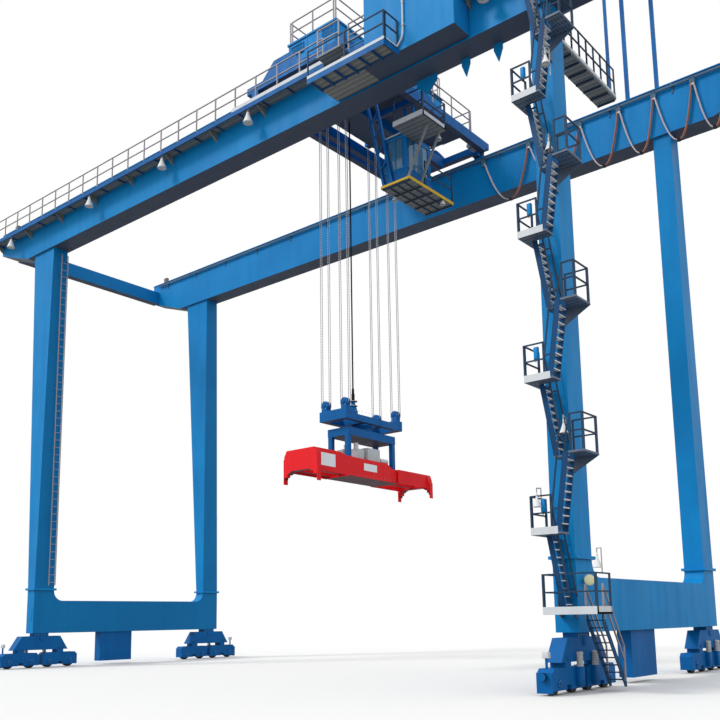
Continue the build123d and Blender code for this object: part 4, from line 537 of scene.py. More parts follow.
def make_toe_plates():
    """Light toe plates round the landings, the platforms and the house side of the walkway."""
    made = [
        toe_x(0.45, 5.80, WALK_EDGE_Y, WALK_Z),
        toe_x(*CHANNEL_RUNS[2], WALK_EDGE_Y, WALK_Z),
        toe_x(*HOUSE_DECK_X, HOUSE_EDGE_Y, HOUSE_DECK_Z, LOW_TOE),
        toe_y(HOUSE_EDGE_Y, -6.83, HOUSE_DECK_X[1] - TOE / 2, HOUSE_DECK_Z, LOW_TOE),
        toe_y(HOUSE_EDGE_Y, -6.00, HOUSE_DECK_X[0] + TOE / 2, HOUSE_DECK_Z),
        toe_x(*LANDING_X, STAIR_NEAR_Y, LANDING_Z),
        toe_y(STAIR_NEAR_Y, STAIR_FAR_Y, LANDING_X[1] - TOE / 2, LANDING_Z),
        toe_y(STAIR_NEAR_Y, STAIR_FAR_Y, LANDING_X[0] + TOE / 2, LANDING_Z),
        toe_x(CHANNEL_RUNS[2][1], CHANNEL_RUNS[3][0], STAIR_NEAR_Y, WALK_Z),
        toe_y(*BOARDING_Y, BOARDING_X[1] + TOE / 2, BOARDING_Z, LOW_TOE),
        toe_y(*BOARDING_Y, BOARDING_X[0] - TOE / 2, BOARDING_Z, LOW_TOE),
        toe_x(*BOARDING_X, -0.642, BOARDING_Z),
    ]
    for z in LEFT_LANDINGS_Z:
        made.append(toe_x(LEFT_LANDING_X, 15.20, STAIR_NEAR_Y, z))
        made.append(toe_y(STAIR_NEAR_Y, STAIR_FAR_Y, LEFT_LANDING_X + TOE / 2, z))
    fitted(made, "landing_toe_plates", "gantry", "lamp_white", TOE_PLATE, 0.003)
    gangway = [toe_x(7.45, 8.90, -4.25, GANGWAY_Z), toe_y(-4.25, -2.65, 8.894, GANGWAY_Z)]
    fitted(gangway, "cab_toe_plates", "trolley", "lamp_white", TOE_PLATE, 0.003)


def make_platform_frames():
    """Channels and joists that carry the gratings, seen from below."""
    made = []
    # edge channel of the walkway, its web and lower lip
    y, z = WALK_EDGE_Y, WALK_CHANNEL_Z
    for x0, x1 in CHANNEL_RUNS:
        made += [block((x0, y - 0.012, z), (x1, y, WALK_Z)), block((x0, y, z), (x1, y + 0.06, z + 0.01))]
    # fascia and joists of the house landing
    (x0, x1), y, (z0, z1) = HOUSE_DECK_X, HOUSE_EDGE_Y, HOUSE_FASCIA_Z
    made.append(block((x0, y - 0.012, z0), (x1, y, z1)))
    made.append(block((x1, y, z0), (x1 + 0.012, HOUSE_DECK_BACK_Y, z1)))
    made.append(repeated(block((x0 + 0.05, -7.64, 22.20), (x0 + 0.11, -6.82, 22.30)), 7, (0.59, 0, 0)))
    made.append(repeated(block((x0 + 0.05, -7.64, 22.24), (x1 - 0.02, -7.58, 22.30)), 2, (0, 0.74, 0)))
    # joists of the walkway between its brackets
    made.append(repeated(block((-19.60, -6.43, 23.63), (-19.57, -5.84, 23.70)), 18, (1.45, 0, 0)))
    fitted(made, "platform_framing", "gantry", "deep_blue", edge=0.003)
    y, z = BOARDING_Y[0], BOARDING_Z
    joist = block((BOARDING_X[0] + 0.03, y, z - 0.20), (BOARDING_X[1] - 0.03, y + 0.04, z - 0.12))
    joists = [repeated(joist, 8, (0, 0.595, 0))]
    fitted(joists, "boarding_platform_joists", "gantry", "railing_paint", DARK_TUBE, 0.003)


BOX_X = 14.75
BOX_FACE_Y = -7.125
GLAND_Y = -7.07


def make_stair_boxes():
    """Control and junction boxes on the left landings' railings, with their lids and cable glands."""
    made, glands = [], []
    for z in LEFT_LANDINGS_Z:
        foot, top = z + 0.60, z + 0.98
        lid_y = BOX_FACE_Y - 0.015
        made.append(block((BOX_X - 0.07, BOX_FACE_Y, foot), (BOX_X + 0.07, -7.02, top)))
        made.append(block((BOX_X - 0.06, lid_y, foot + 0.01), (BOX_X + 0.06, BOX_FACE_Y, top - 0.01)))
        for x, end, radius in ((BOX_X - 0.03, z + 0.52, 0.014), (BOX_X + 0.03, z + 0.05, 0.010)):
            glands.append(rod((x, GLAND_Y, foot), (x, GLAND_Y, end), radius, 8))
    fitted(made, "landing_junction_boxes", "gantry", "house_blue", edge=0.008, segments=2)
    fitted(glands, "landing_box_cables", "gantry", "cable_black", RUBBER)


LOOP_START_X = (6.17, 8.62, 11.21, 13.05, 14.62, 16.27, 17.6)
FESTOON_Y = 4.765
HANG_Z = 23.94
# the run of one loop: share of the span and drop in metres
LOOP = (
    (0.00, 0.00), (0.03, 0.25), (0.10, 0.72), (0.19, 1.28), (0.31, 1.82), (0.44, 2.18), (0.57, 2.30),
    (0.68, 2.20), (0.78, 1.85), (0.86, 1.35), (0.93, 0.78), (0.98, 0.30), (1.00, 0.00),
)
LOOP_LOW = 0.57
LOOP_FOOT_Z = HANG_Z - 2.27
CABLE_RADIUS = 0.027
CABLE_PITCH = 0.045
SADDLE_HALF = 0.05
CLAMP = ((-0.06, -0.085, -0.05), (0.06, 0.085, 0.05))
SADDLE = ((-0.10, -0.05, -0.10), (0.10, 0.05, 0.0))
ROLLER_Z = 24.17
ROLLER = [(0.035, -0.02), (0.035, 0.005), (0.020, 0.01), (0.020, 0.02)]


def smooth_run(places, radius):
    """A pipe or cable with a round section, on a smooth line."""
    line = bpy.data.curves.new("run", "CURVE")
    line.dimensions = "3D"
    line.bevel_depth = radius
    line.bevel_resolution = 2
    line.use_fill_caps = True
    line.resolution_u = 6
    run = line.splines.new("NURBS")
    run.points.add(len(places) - 1)
    for point, place in zip(run.points, places):
        point.co = (*place, 1)
    run.order_u = 3
    run.use_endpoint_u = True
    made = bpy.data.objects.new("run", line)
    bpy.context.collection.objects.link(made)
    choose(made)
    bpy.ops.object.convert(target="MESH")
    return made


def halves(piece, x):
    """The piece cut across X: its left and its right part."""
    made = []
    for left in (True, False):
        half = twin(piece)
        choose(half)
        bpy.ops.object.mode_set(mode="EDIT")
        bpy.ops.mesh.select_all(action="SELECT")
        bpy.ops.mesh.bisect(
            plane_co=(x, 0, 0), plane_no=(1, 0, 0), use_fill=True, clear_outer=left, clear_inner=not left,
        )
        bpy.ops.object.mode_set(mode="OBJECT")
        made.append(half)
    bpy.data.objects.remove(piece)
    return made


def make_festoon():
    """Flat bundle of cables in loops between the carriages, a clamp at each loop's foot. Each loop's left
    half is pale, a painted highlight, and its right half brown, painted shade.
    """
    pale, brown, clamps, saddles, rollers = [], [], [], [], []
    for a, b in zip(LOOP_START_X, LOOP_START_X[1:]):
        start, span = a + SADDLE_HALF, b - a - 2 * SADDLE_HALF
        low_x = start + LOOP_LOW * span
        for y in (FESTOON_Y - CABLE_PITCH, FESTOON_Y, FESTOON_Y + CABLE_PITCH):
            line = [(start + share * span, y, HANG_Z - drop) for share, drop in LOOP]
            # cut at the lowest point: the left half takes the painted highlight, the right half the painted
            # shade
            left, right = halves(smooth_run(line, CABLE_RADIUS), low_x)
            pale.append(left)
            brown.append(right)
        clamps.append(spread(block(*CLAMP), [(low_x, FESTOON_Y, LOOP_FOOT_Z)]))
    for x in LOOP_START_X:
        saddles.append(spread(block(*SADDLE), [(x, FESTOON_Y, HANG_Z)]))
        for dx in (-0.07, 0.07):
            for side in SIDES:
                hub = (x + dx, FESTOON_Y + side * 0.06, ROLLER_Z)
                rollers.append(turned(hub, (0, side, 0), ROLLER, 12))
    loops = fitted(pale, "festoon_cable_painted_highlight_halves", "gantry", "cable_black", PAINTED_HIGHLIGHT_SHEATH)
    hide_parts("festoon_cable")
    fitted(brown, "festoon_cable_painted_shade_halves", "gantry", "cable_black", PAINTED_SHADE_SHEATH)
    fitted(clamps, "festoon_clamps", "gantry", "cable_black", RUBBER, 0.008)
    fitted(saddles, "festoon_saddles", "gantry", "galvanised", ZINC, 0.02, 2)
    fitted(rollers, "festoon_rollers", "gantry", "wheel_steel")


# The two houses

HOUSE = ((8.10, -6.80, 22.30), (12.10, -5.86, 25.60))
END_DOOR_Y = (-6.72, -5.98)
END_DOOR_Z = (23.82, 25.48)
PULL_Y = -6.08
LOUVRE_FRAME = 0.03
BLADE_PITCH = 0.06


def louvre(x0, x1, y, z0, z1, way):
    """Weather louvre on a wall that faces Y: a frame and a stack of blades."""
    rim = LOUVRE_FRAME
    out_y = y + rim * way
    count = int((z1 - z0) / BLADE_PITCH)
    blade = (x0, y, z0 + 0.01), (x1, y + rim * way * 0.8, z0 + 0.035)
    return welded([
        block((x0 - rim, y, z0 - rim), (x0, out_y, z1 + rim)),
        block((x1, y, z0 - rim), (x1 + rim, out_y, z1 + rim)),
        block((x0, y, z1), (x1, out_y, z1 + rim)),
        block((x0, y, z0 - rim), (x1, out_y, z0)),
        repeated(block(*blade), count, (0, 0, BLADE_PITCH)),
    ])


def make_electrical_house():
    """Roof edge, end doors, back louvres and the pale cable pipe of the electrical house."""
    (x0, y0, z0), (x1, y1, z1) = HOUSE
    trim = [
        block((x0 - 0.02, y0 - 0.03, z1 - 0.06), (x1 + 0.02, y1 + 0.03, z1 + 0.015)),
        block((x0 - 0.014, END_DOOR_Y[0], END_DOOR_Z[0]), (x0, END_DOOR_Y[1], END_DOOR_Z[1])),
        block((x1, END_DOOR_Y[0], END_DOOR_Z[0]), (x1 + 0.014, END_DOOR_Y[1], END_DOOR_Z[1])),
    ]
    for k in range(4):
        trim.append(louvre(x0 + 0.40 + k * 0.92, x0 + 0.85 + k * 0.92, y1, z0 + 2.45, z0 + 2.95, 1))
    fitted(trim, "electrical_house_trim", "gantry", "house_blue", edge=0.004)
    # the pipe comes out of the wall under the roof, runs down it and bends to the left
    x, y = x0 + 1.85, y0 - 0.05
    run = [
        (x, y0 + 0.03, z1 - 0.15), (x, y, z1 - 0.20), (x, y, z1 - 0.50), (x, y, z0 + 0.90),
        (x - 0.02, y, z0 + 0.45), (x - 0.20, y - 0.01, z0 + 0.22), (x - 0.34, y - 0.01, z0 + 0.08),
    ]
    clip = block((x - 0.05, y - 0.035, z0 + 0.90), (x + 0.05, y + 0.06, z0 + 0.93))
    pipe = [smooth_run(run, 0.035), repeated(clip, 3, (0, 0, 0.9))]
    for x, way in ((x0 - 0.014, -1), (x1 + 0.014, 1)):
        grip_x = x + way * 0.03
        pipe.append(rod((grip_x, PULL_Y, 24.55), (grip_x, PULL_Y, 24.75), 0.012, 8))
        pipe += [rod((x, PULL_Y, z), (x + way * 0.04, PULL_Y, z), 0.010, 8) for z in (24.57, 24.73)]
    fitted(pipe, "electrical_house_pipe", "gantry", "galvanised", TOE_PLATE)


MACHINE = ((1.50, -4.00, 25.34), (4.33, 4.00, 27.79))
RIB = 0.018
ROOF_RIM = 0.05
ROOF_RIM_HEIGHT = 0.10
FAN_HOOD = [(0.28, 0), (0.28, 0.16), (0.36, 0.17), (0.30, 0.26), (0.10, 0.30)]


def make_machinery_house():
    """Cladding ribs, roof edge, door, louvres and roof fans of the machinery house."""
    (x0, y0, z0), (x1, y1, z1) = MACHINE
    rim_z = z1 - ROOF_RIM_HEIGHT
    made = [
        block((x0 - ROOF_RIM, y0 - ROOF_RIM, rim_z), (x1 + ROOF_RIM, y0, z1)),
        block((x0 - ROOF_RIM, y1, rim_z), (x1 + ROOF_RIM, y1 + ROOF_RIM, z1)),
        block((x0 - ROOF_RIM, y0, rim_z), (x0, y1, z1)),
        block((x1, y0, rim_z), (x1 + ROOF_RIM, y1, z1)),
    ]
    for x, dx in ((x0, -RIB), (x1, RIB)):
        rib = block((x, y0 + 0.02, z0 + 0.05), (x + dx, y0 + 0.07, rim_z))
        made.append(repeated(rib, 14, (0, 0.6085, 0)))
    for y, dy in ((y0, -RIB), (y1, RIB)):
        rib = block((x0 + 0.02, y, z0 + 0.05), (x0 + 0.07, y + dy, rim_z))
        made.append(repeated(rib, 6, (0.548, 0, 0)))
    fitted(made, "machinery_house_cladding_ribs", "trolley", "house_blue", edge=0.005)
    vents = [louvre(x, x + 0.7, y0 - RIB, 27.10, 27.52, -1) for x in (3.55, 1.70)]
    vents += [louvre(x, x + 0.7, y1 + RIB, 26.7, 27.4, 1) for x in (1.8, 3.2)]
    fitted(vents, "machinery_house_louvres", "trolley", "house_blue")
    door = [
        block((x1, 2.20, z0 + 0.05), (x1 + 0.03, 3.05, z0 + 2.05)),
        block((x1 + 0.03, 2.45, z0 + 1.30), (x1 + 0.04, 2.80, z0 + 1.75)),
        rod((x1 + 0.06, 2.32, z0 + 0.95), (x1 + 0.06, 2.32, z0 + 1.20), 0.014, 8),
    ]
    fitted(door, "machinery_house_door", "trolley", "deep_blue", edge=0.008)
    fans = []
    for y in (-2.4, 2.4):
        fans.append(block((2.55, y - 0.35, z1), (3.25, y + 0.35, z1 + 0.18)))
        fans.append(turned((2.90, y, z1 + 0.18), UP, FAN_HOOD))
    fitted(fans, "roof_fans", "trolley", "galvanised", MACHINE_GREY, 0.006)


# Trolley

CARRIAGE_FACE_Y = 5.185
TROLLEY_AXLE_X = (0.88, 5.57)
TROLLEY_AXLE_Z = 24.74
GEAR_CASE = 0.24
AXLE_CAP = [(0.11, -0.01), (0.11, 0.02), (0.09, 0.03), (0.05, 0.03), (0.05, 0.045)]
TRAVEL_MOTOR = [
    (0.14, 0.0), (0.14, 0.05), (0.12, 0.06), *fins(0.12, 0.135, 0.08, 0.06, 0.03, 6),
    (0.12, 0.46), (0.13, 0.47), (0.13, 0.56), (0.10, 0.58),
]


def make_trolley_gear():
    """Travel motors and gear cases on the end carriages, and axle caps."""
    motors, cases, caps = [], [], []
    for side in SIDES:
        out_y = side * CARRIAGE_FACE_Y
        in_y = out_y - side * GEAR_CASE
        for x in TROLLEY_AXLE_X:
            cases.append(block((x - 0.17, out_y, 24.66), (x + 0.17, in_y, 25.12)))
            motors.append(turned((x, in_y, 24.98), (0, -side, 0), TRAVEL_MOTOR, 20))
            caps.append(turned((x, side * 5.505, TROLLEY_AXLE_Z), (0, side, 0), AXLE_CAP, 20))
    fitted(cases, "trolley_gear_cases", "trolley", "deep_blue", edge=0.02, segments=2)
    fitted(motors, "trolley_travel_motors", "trolley", "galvanised", MACHINE_GREY)
    fitted(caps, "trolley_axle_caps", "trolley", "deep_blue")


CAB = ((6.35, -3.40, 19.50), (7.45, -1.70, 21.60))
BAR_DEPTH = 0.012
SEAT = (
    ((6.70, -2.80, 19.75), (7.15, -2.35, 19.90)),
    ((7.05, -2.80, 19.88), (7.17, -2.35, 20.55)),
    ((6.85, -2.65, 19.60), (7.00, -2.50, 19.76)),
)
CAB_DECK = ((6.28, -3.57, 19.34), (7.70, -0.45, 19.40))
CAB_LAMPS = ((6.32, -2.70, 19.42), (7.60, -1.10, 19.42), (8.50, -2.60, 21.36))
CAB_LAMP_SHADE = [(0.05, 0.0), (0.06, 0.06), (0.10, 0.16), (0.13, 0.22), (0.12, 0.225), (0.05, 0.12)]


def make_cab():
    """Window bars, roof unit, lamps under the deck, seat and desks of the driver's cab."""
    (x0, y0, z0), (x1, y1, z1) = CAB
    # each window row lies between a sill rail and a head rail
    rails = ((z1 - 0.20, z1 - 0.15), (z0 + 0.55, z0 + 0.60))
    foot, top = z0 + 0.56, z1 - 0.16
    bars = []
    for x, dx in ((x0, -BAR_DEPTH), (x1, BAR_DEPTH)):
        bars.append(repeated(block((x, y0 + 0.02, foot), (x + dx, y0 + 0.06, top)), 4, (0, 0.54, 0)))
        bars += [block((x, y0, low), (x + dx, y1, high)) for low, high in rails]
    for y, dy in ((y0, -BAR_DEPTH), (y1, BAR_DEPTH)):
        bars.append(repeated(block((x0 + 0.01, y, foot), (x0 + 0.05, y + dy, top)), 3, (0.515, 0, 0)))
        bars += [block((x0, y, low), (x1, y + dy, high)) for low, high in rails]
    fitted(bars, "cab_window_bars", "trolley", "house_blue", edge=0.004)
    unit = [
        block((6.55, -2.95, z1), (7.15, -2.15, z1 + 0.22)),
        block((x0 - 0.03, y0 - 0.03, z1 - 0.05), (x1 + 0.03, y0 + 0.02, z1 + 0.02)),
        block((x0 - 0.03, y1 - 0.02, z1 - 0.05), (x1 + 0.03, y1 + 0.03, z1 + 0.02)),
    ]
    fitted(unit, "cab_roof_unit", "trolley", "lamp_white", MACHINE_GREY, 0.015, 2)
    seat = [block(low, high) for low, high in SEAT]
    fitted(seat, "driver_seat", "trolley", "cable_black", RUBBER, 0.03, 3)
    desks = [block((6.62, y, 19.60), (6.95, y + 0.20, 20.15)) for y in (-3.10, -2.25)]
    desks += [rod((6.78, y, 20.15), (6.76, y, 20.32), 0.015, 8) for y in (-3.00, -2.15)]
    fitted(desks, "driver_desks", "trolley", "galvanised", MACHINE_GREY, 0.01)
    # what carries the lower deck, and the yellow plate along three of its sides
    (x0, y0, z0), (x1, y1, z1) = CAB_DECK
    joists = [
        repeated(block((x0 + 0.02, y0 + 0.07, z0), (x1 - 0.02, y0 + 0.12, z1)), 5, (0, 0.745, 0)),
        repeated(block((6.60, y0 + 0.02, z0 + 0.01), (6.64, y1 - 0.02, z1)), 3, (0.37, 0, 0)),
    ]
    fitted(joists, "cab_deck_joists", "trolley", "deep_blue", DARK_TUBE, 0.003)
    plate = 0.012
    edge = [
        block((x1, y0, 19.38), (x1 + plate, y1, 19.52)),
        block((x0 - plate, y0, 19.38), (x0, y1, 19.52)),
        block((x0 - plate, y0 - plate, 19.40), (x1 + plate, y0, 19.50)),
    ]
    fitted(edge, "cab_deck_edge", "trolley", "railing_paint", YELLOW, 0.003)
    lamps = spread(turned(ORIGIN, DOWN, CAB_LAMP_SHADE, 20), CAB_LAMPS)
    fitted([lamps], "cab_lamp_shades", "trolley", "lamp_white")


# Lift gear

HOIST_X = 2.15
SHEAVE_X = 0.56
SHEAVE_Y = 1.78
SHEAVE_Z = 11.44
SHEAVES = [(HOIST_X + dx, dy, SHEAVE_Z) for dx in (-SHEAVE_X, SHEAVE_X) for dy in (-SHEAVE_Y, SHEAVE_Y)]
SHEAVE_SIDE = 0.14
SHEAVE_HUB = [(0.075, -0.02), (0.075, 0.025), (0.05, 0.035), (0.03, 0.035), (0.03, 0.05)]
SHEAVE_BOLT_RING = 0.155
SHEAVE_BOLT = [(0.014, -0.005), (0.014, 0.012)]
# a rope's two falls lie on either rim of its sheave, and two ropes run side by side
RIM = 0.23
ROPE_PITCH = 0.055
DECK_Z = 25.34
HIDDEN_TOP_Z = 27.70
BASKET_TOP_Z = 11.80
CABLE_Y = -0.60
CABLE_PLUG = [(0.05, 0.0), (0.075, 0.02), (0.075, 0.30), (0.06, 0.34), (0.055, 0.52), (0.037, 0.60)]
FALLS = [
    (HOIST_X + i * SHEAVE_X + k * RIM, j * SHEAVE_Y + m * ROPE_PITCH)
    for i in SIDES for j in SIDES for k in SIDES for m in SIDES
]
# name, places, foot, radius, slot and finish
LINES = (
    ("hoist_rope", FALLS, SHEAVE_Z, 0.016, "rope_steel", FINISH["rope_steel"]),
    ("spreader_cable", [(HOIST_X, CABLE_Y)], BASKET_TOP_Z, 0.034, "cable_black", RUBBER),
)


def make_ropes():
    """Hoist ropes and the spreader's cable. Each fall is drawn twice, one in the other: the upper length
    hangs from the trolley and draws up as the hoist rises, and the lower one stands on the sheave and
    follows it down, so that a fall is whole at every height. The lower lengths' tops are out of sight in
    the machinery house and in the two rope guards on its wall."""
    for name, falls, foot, radius, slot, finish in LINES:
        for part, body, top, wide, anchor in (
            ("upper", "trolley", DECK_Z, radius, DECK_Z),
            ("lower", "hoist", HIDDEN_TOP_Z, radius * 0.9, foot),
        ):
            line = spread(rod((0, 0, foot), (0, 0, top), wide), [(x, y, 0) for x, y in falls])
            lengths = fitted([line], f"{name}_{part}_lengths", body, slot, finish)
            if part == "upper":
                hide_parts("hoist_ropes")
            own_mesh(lengths)
    guards = []
    for y in (-SHEAVE_Y, SHEAVE_Y):
        guards.append(block((1.27, y - 0.17, DECK_Z), (1.50, y + 0.17, HIDDEN_TOP_Z + 0.05)))
    fitted(guards, "rope_guards", "trolley", "house_blue", edge=0.012, segments=2)
    plug = turned((HOIST_X, CABLE_Y, BASKET_TOP_Z), UP, CABLE_PLUG, 16)
    fitted([plug], "spreader_cable_plug", "hoist", "cable_black", RUBBER)


def make_headblock_gear():
    """Sheave hubs and keeper plates, deck bolts and the cable basket's bands."""
    hubs, bolts = [], []
    for x, y, z in SHEAVES:
        for way in SIDES:
            face_y = y + way * SHEAVE_SIDE
            hubs.append(turned((x, face_y, z), (0, way, 0), SHEAVE_HUB, 16))
            for across, up in ring_of_six(SHEAVE_BOLT_RING, 0):
                bolts.append(turned((x + across, face_y, z + up), (0, way, 0), SHEAVE_BOLT, 6))
    for x in (HOIST_X - 0.70, HOIST_X + 0.70):
        bolts.append(bolt_row((x, -1.3, 11.15), (0, 0.24, 0), 12, 0.018, UP, 0.018))
    fitted(hubs, "sheave_hubs", "hoist", "deep_blue")
    fitted(bolts, "headblock_bolts", "hoist", "galvanised", ZINC)
    band = [(0.185, 0.0), (0.20, 0.005), (0.20, 0.03), (0.185, 0.035)]
    bands = [turned((HOIST_X, CABLE_Y, z), UP, band) for z in (11.05, 11.30, 11.55, 11.76)]
    fitted(bands, "cable_basket_bands", "hoist", "galvanised", MACHINE_GREY)


# boxes and motors on the spreader's core, measured from the hoist's middle
POWER_UNIT = (
    ((0.22, -0.42, 9.05), (0.66, 0.44, 9.62)),
    ((0.10, -1.12, 9.05), (0.62, -0.62, 9.50)),
    ((-0.62, 0.10, 9.05), (-0.12, 0.90, 9.45)),
    ((-0.60, -1.05, 9.05), (-0.20, -0.30, 9.58)),
)
PUMP_MOTORS = (
    ((0.36, -0.87, 9.50), (0.36, -0.87, 9.80), 0.11),
    ((-0.40, -0.68, 9.58), (-0.40, -0.68, 9.84), 0.09),
    ((0.44, 0.62, 9.18), (0.44, 1.18, 9.18), 0.12),
)
LOCK_X = (HOIST_X - 0.825, HOIST_X + 0.825)
LOCK_Y = 3.96
TWISTLOCK = [(0.032, -0.02), (0.032, 0.02), (0.052, 0.03), (0.045, 0.07), (0.018, 0.11)]
LOCK_HOUSING = [(0.085, 0.0), (0.085, 0.10), (0.06, 0.12), (0.03, 0.12), (0.03, 0.17)]


def from_hoist(place):
    """A place given from the hoist's middle."""
    return (HOIST_X + place[0], place[1], place[2])


def make_spreader_gear():
    """Power unit, pump motors, hoses, label plates, bolts and twistlocks of the spreader."""
    boxes = [block(from_hoist(low), from_hoist(high)) for low, high in POWER_UNIT]
    fitted(boxes, "spreader_power_unit", "slew", "galvanised", MACHINE_GREY, 0.015, 2)
    motors = [rod(from_hoist(start), from_hoist(end), radius, 20) for start, end, radius in PUMP_MOTORS]
    fitted(motors, "spreader_pump_motors", "slew", "lamp_white", TOE_PLATE, 0.012, 2)
    hoses = []
    for k in range(3):
        x = HOIST_X + 0.20 + 0.06 * k
        line = [(x, -0.60, 9.40), (x, -0.52, 9.52 + 0.03 * k), (x, -0.42, 9.40)]
        hoses += [rod(a, b, 0.013, 8) for a, b in zip(line, line[1:])]
    fitted(hoses, "spreader_hoses", "slew", "cable_black", RUBBER)
    bolts = []
    for side in SIDES:
        first = (HOIST_X + side * 0.72, -1.60, 8.32)
        bolts.append(bolt_row(first, (0, 0.25, 0), 14, 0.016, (side, 0, 0), 0.014))
    fitted(bolts, "spreader_core_bolts", "slew", "galvanised", ZINC)
    plate = block((2.870, -0.78, 8.55), (2.876, 0.12, 8.87))
    fitted([plate], "core_name_plate_blank", "slew", "lamp_white", BLANK_PLATE, 0.002)
    plate = block((2.925, -3.80, 8.44), (2.931, -2.73, 8.98))
    fitted([plate], "end_name_plate_blank", "near_end", "lamp_white", BLANK_PLATE, 0.002)
    for side, body in ((-1, "near_end"), (1, "far_end")):
        locks, housings = [], []
        for x in LOCK_X:
            locks.append(turned((x, side * LOCK_Y, 8.03), DOWN, TWISTLOCK, 12))
            housings.append(turned((x, side * LOCK_Y, 8.15), UP, LOCK_HOUSING, 16))
        fitted(locks, f"{body}_twistlocks", body, "wheel_steel")
        fitted(housings, f"{body}_lock_housings", body, "spreader_red")


# Gantry travel

TRUCKS_Y = (-1.08, 1.08)
WHEELS_Y = (-0.575, 0.575)
AXLES = [truck + wheel for truck in TRUCKS_Y for wheel in WHEELS_Y]
AXLE_Z = 0.315
TRUCK_FACE = 0.245
CAP = [(0.115, -0.01), (0.115, 0.018), (0.095, 0.03), (0.045, 0.03), (0.045, 0.05)]
CAP_BOLT_RING = 0.088
CAP_BOLT = [(0.013, -0.004), (0.013, 0.016)]
TRUCK_PIN = [(0.10, -0.02), (0.10, 0.03), (0.06, 0.045), (0.06, 0.06)]
TRUCK_PIN_Z = 0.99
MAIN_PIN = [(0.13, -0.02), (0.13, 0.04), (0.08, 0.055), (0.08, 0.07)]
MAIN_PIN_Z = 1.45
CASE_TOP_Z = 0.74
GANTRY_MOTOR = [
    (0.105, 0.0), (0.105, 0.04), (0.09, 0.045), *fins(0.09, 0.102, 0.06, 0.05, 0.025, 5),
    (0.09, 0.32), (0.10, 0.33), (0.10, 0.40), (0.07, 0.42),
]


def corner_pieces():
    """Axle caps, pins, bolts, gear cases and motors of one corner, made for the near right one."""
    caps, bolts, cases, motors = [], [], [], []
    for side in SIDES:
        way = (side, 0, 0)
        face_x = RIGHT_MID_X + side * TRUCK_FACE
        for axle in AXLES:
            y = -CORNER_Y + axle
            caps.append(turned((face_x, y, AXLE_Z), way, CAP, 20))
            for across, up in ring_of_six(CAP_BOLT_RING, 30):
                bolts.append(turned((face_x + side * 0.015, y + across, AXLE_Z + up), way, CAP_BOLT, 6))
        pin_x = face_x - side * 0.02
        caps += [turned((pin_x, -CORNER_Y + truck, TRUCK_PIN_Z), way, TRUCK_PIN, 20) for truck in TRUCKS_Y]
        caps.append(turned((pin_x, -CORNER_Y, MAIN_PIN_Z), way, MAIN_PIN))
        bolts.append(bolt_row((face_x, -CORNER_Y - 0.34, 1.64), (0, 0.17, 0), 5, 0.018, way, 0.016))
    # each truck's inner wheel is driven, on the side away from the bay
    face_x = RIGHT_MID_X + TRUCK_FACE
    for axle in AXLES[1:3]:
        y = -CORNER_Y + axle
        cases.append(block((face_x, y - 0.15, 0.20), (face_x + 0.15, y + 0.15, CASE_TOP_Z)))
        motors.append(turned((face_x + 0.08, y, CASE_TOP_Z), UP, GANTRY_MOTOR, 20))
    return welded(caps), welded(bolts), eased(welded(cases), 0.02, 2), welded(motors)


BUFFER_PAD = [(0.118, -0.03), (0.118, 0.03), (0.10, 0.055)]
POST_Y = 7.40
SWEEPER_Y = 7.56


def make_bogie_gear():
    """The corner's pieces at all four corners, turned over for the far side and the left end."""
    names = (
        ("bogie_axle_caps", "deep_blue", None),
        ("bogie_bolts", "galvanised", ZINC),
        ("bogie_gear_cases", "deep_blue", None),
        ("bogie_travel_motors", "galvanised", MACHINE_GREY),
    )
    for piece, (name, slot, finish) in zip(corner_pieces(), names):
        far = twin(piece, flip=(0, 1, 0))
        left = [twin(each, (RIGHT_MID_X + LEFT_MID_X, 0, 0), flip=(1, 0, 0)) for each in (piece, far)]
        fitted([piece, far, *left], name, "gantry", slot, finish)
    pads, posts, boxes = [], [], []
    for x in (LEFT_MID_X, RIGHT_MID_X):
        for side in SIDES:
            pads.append(turned((x, side * 7.66, 0.52), (0, side, 0), BUFFER_PAD))
            y = side * POST_Y
            posts.append(block((x - 0.03, y - 0.03, 0.74), (x + 0.03, y + 0.03, 1.02)))
            boxes.append(block((x - 0.10, y - 0.07, 1.02), (x + 0.10, y + 0.07, 1.20)))
            y = side * SWEEPER_Y
            posts.append(block((x - 0.20, y - 0.012, 0.07), (x + 0.20, y + 0.012, 0.30)))
    fitted(pads, "buffer_pads", "gantry", "cable_black", RUBBER)
    fitted(posts, "truck_end_posts", "gantry", "deep_blue", edge=0.004)
    fitted(boxes, "travel_warning_boxes", "gantry", "lamp_white", TOE_PLATE, 0.012, 2)


# Legs, sills and girders

# bolts through the leg's foot flange, above and below it
FLANGE_BOLTS = ((3.915, UP), (3.865, DOWN))
FLANGE_Y = (4.885, 6.085)
FLANGE_BOLT = 0.022
FLANGE_COUNT = 8
LEG_INNER_X = 14.40
SILL_END_Y = 6.035
CLIP_ROWS_Y = [side * 5.345 + dy for side in SIDES for dy in (-0.11, 0.11)]


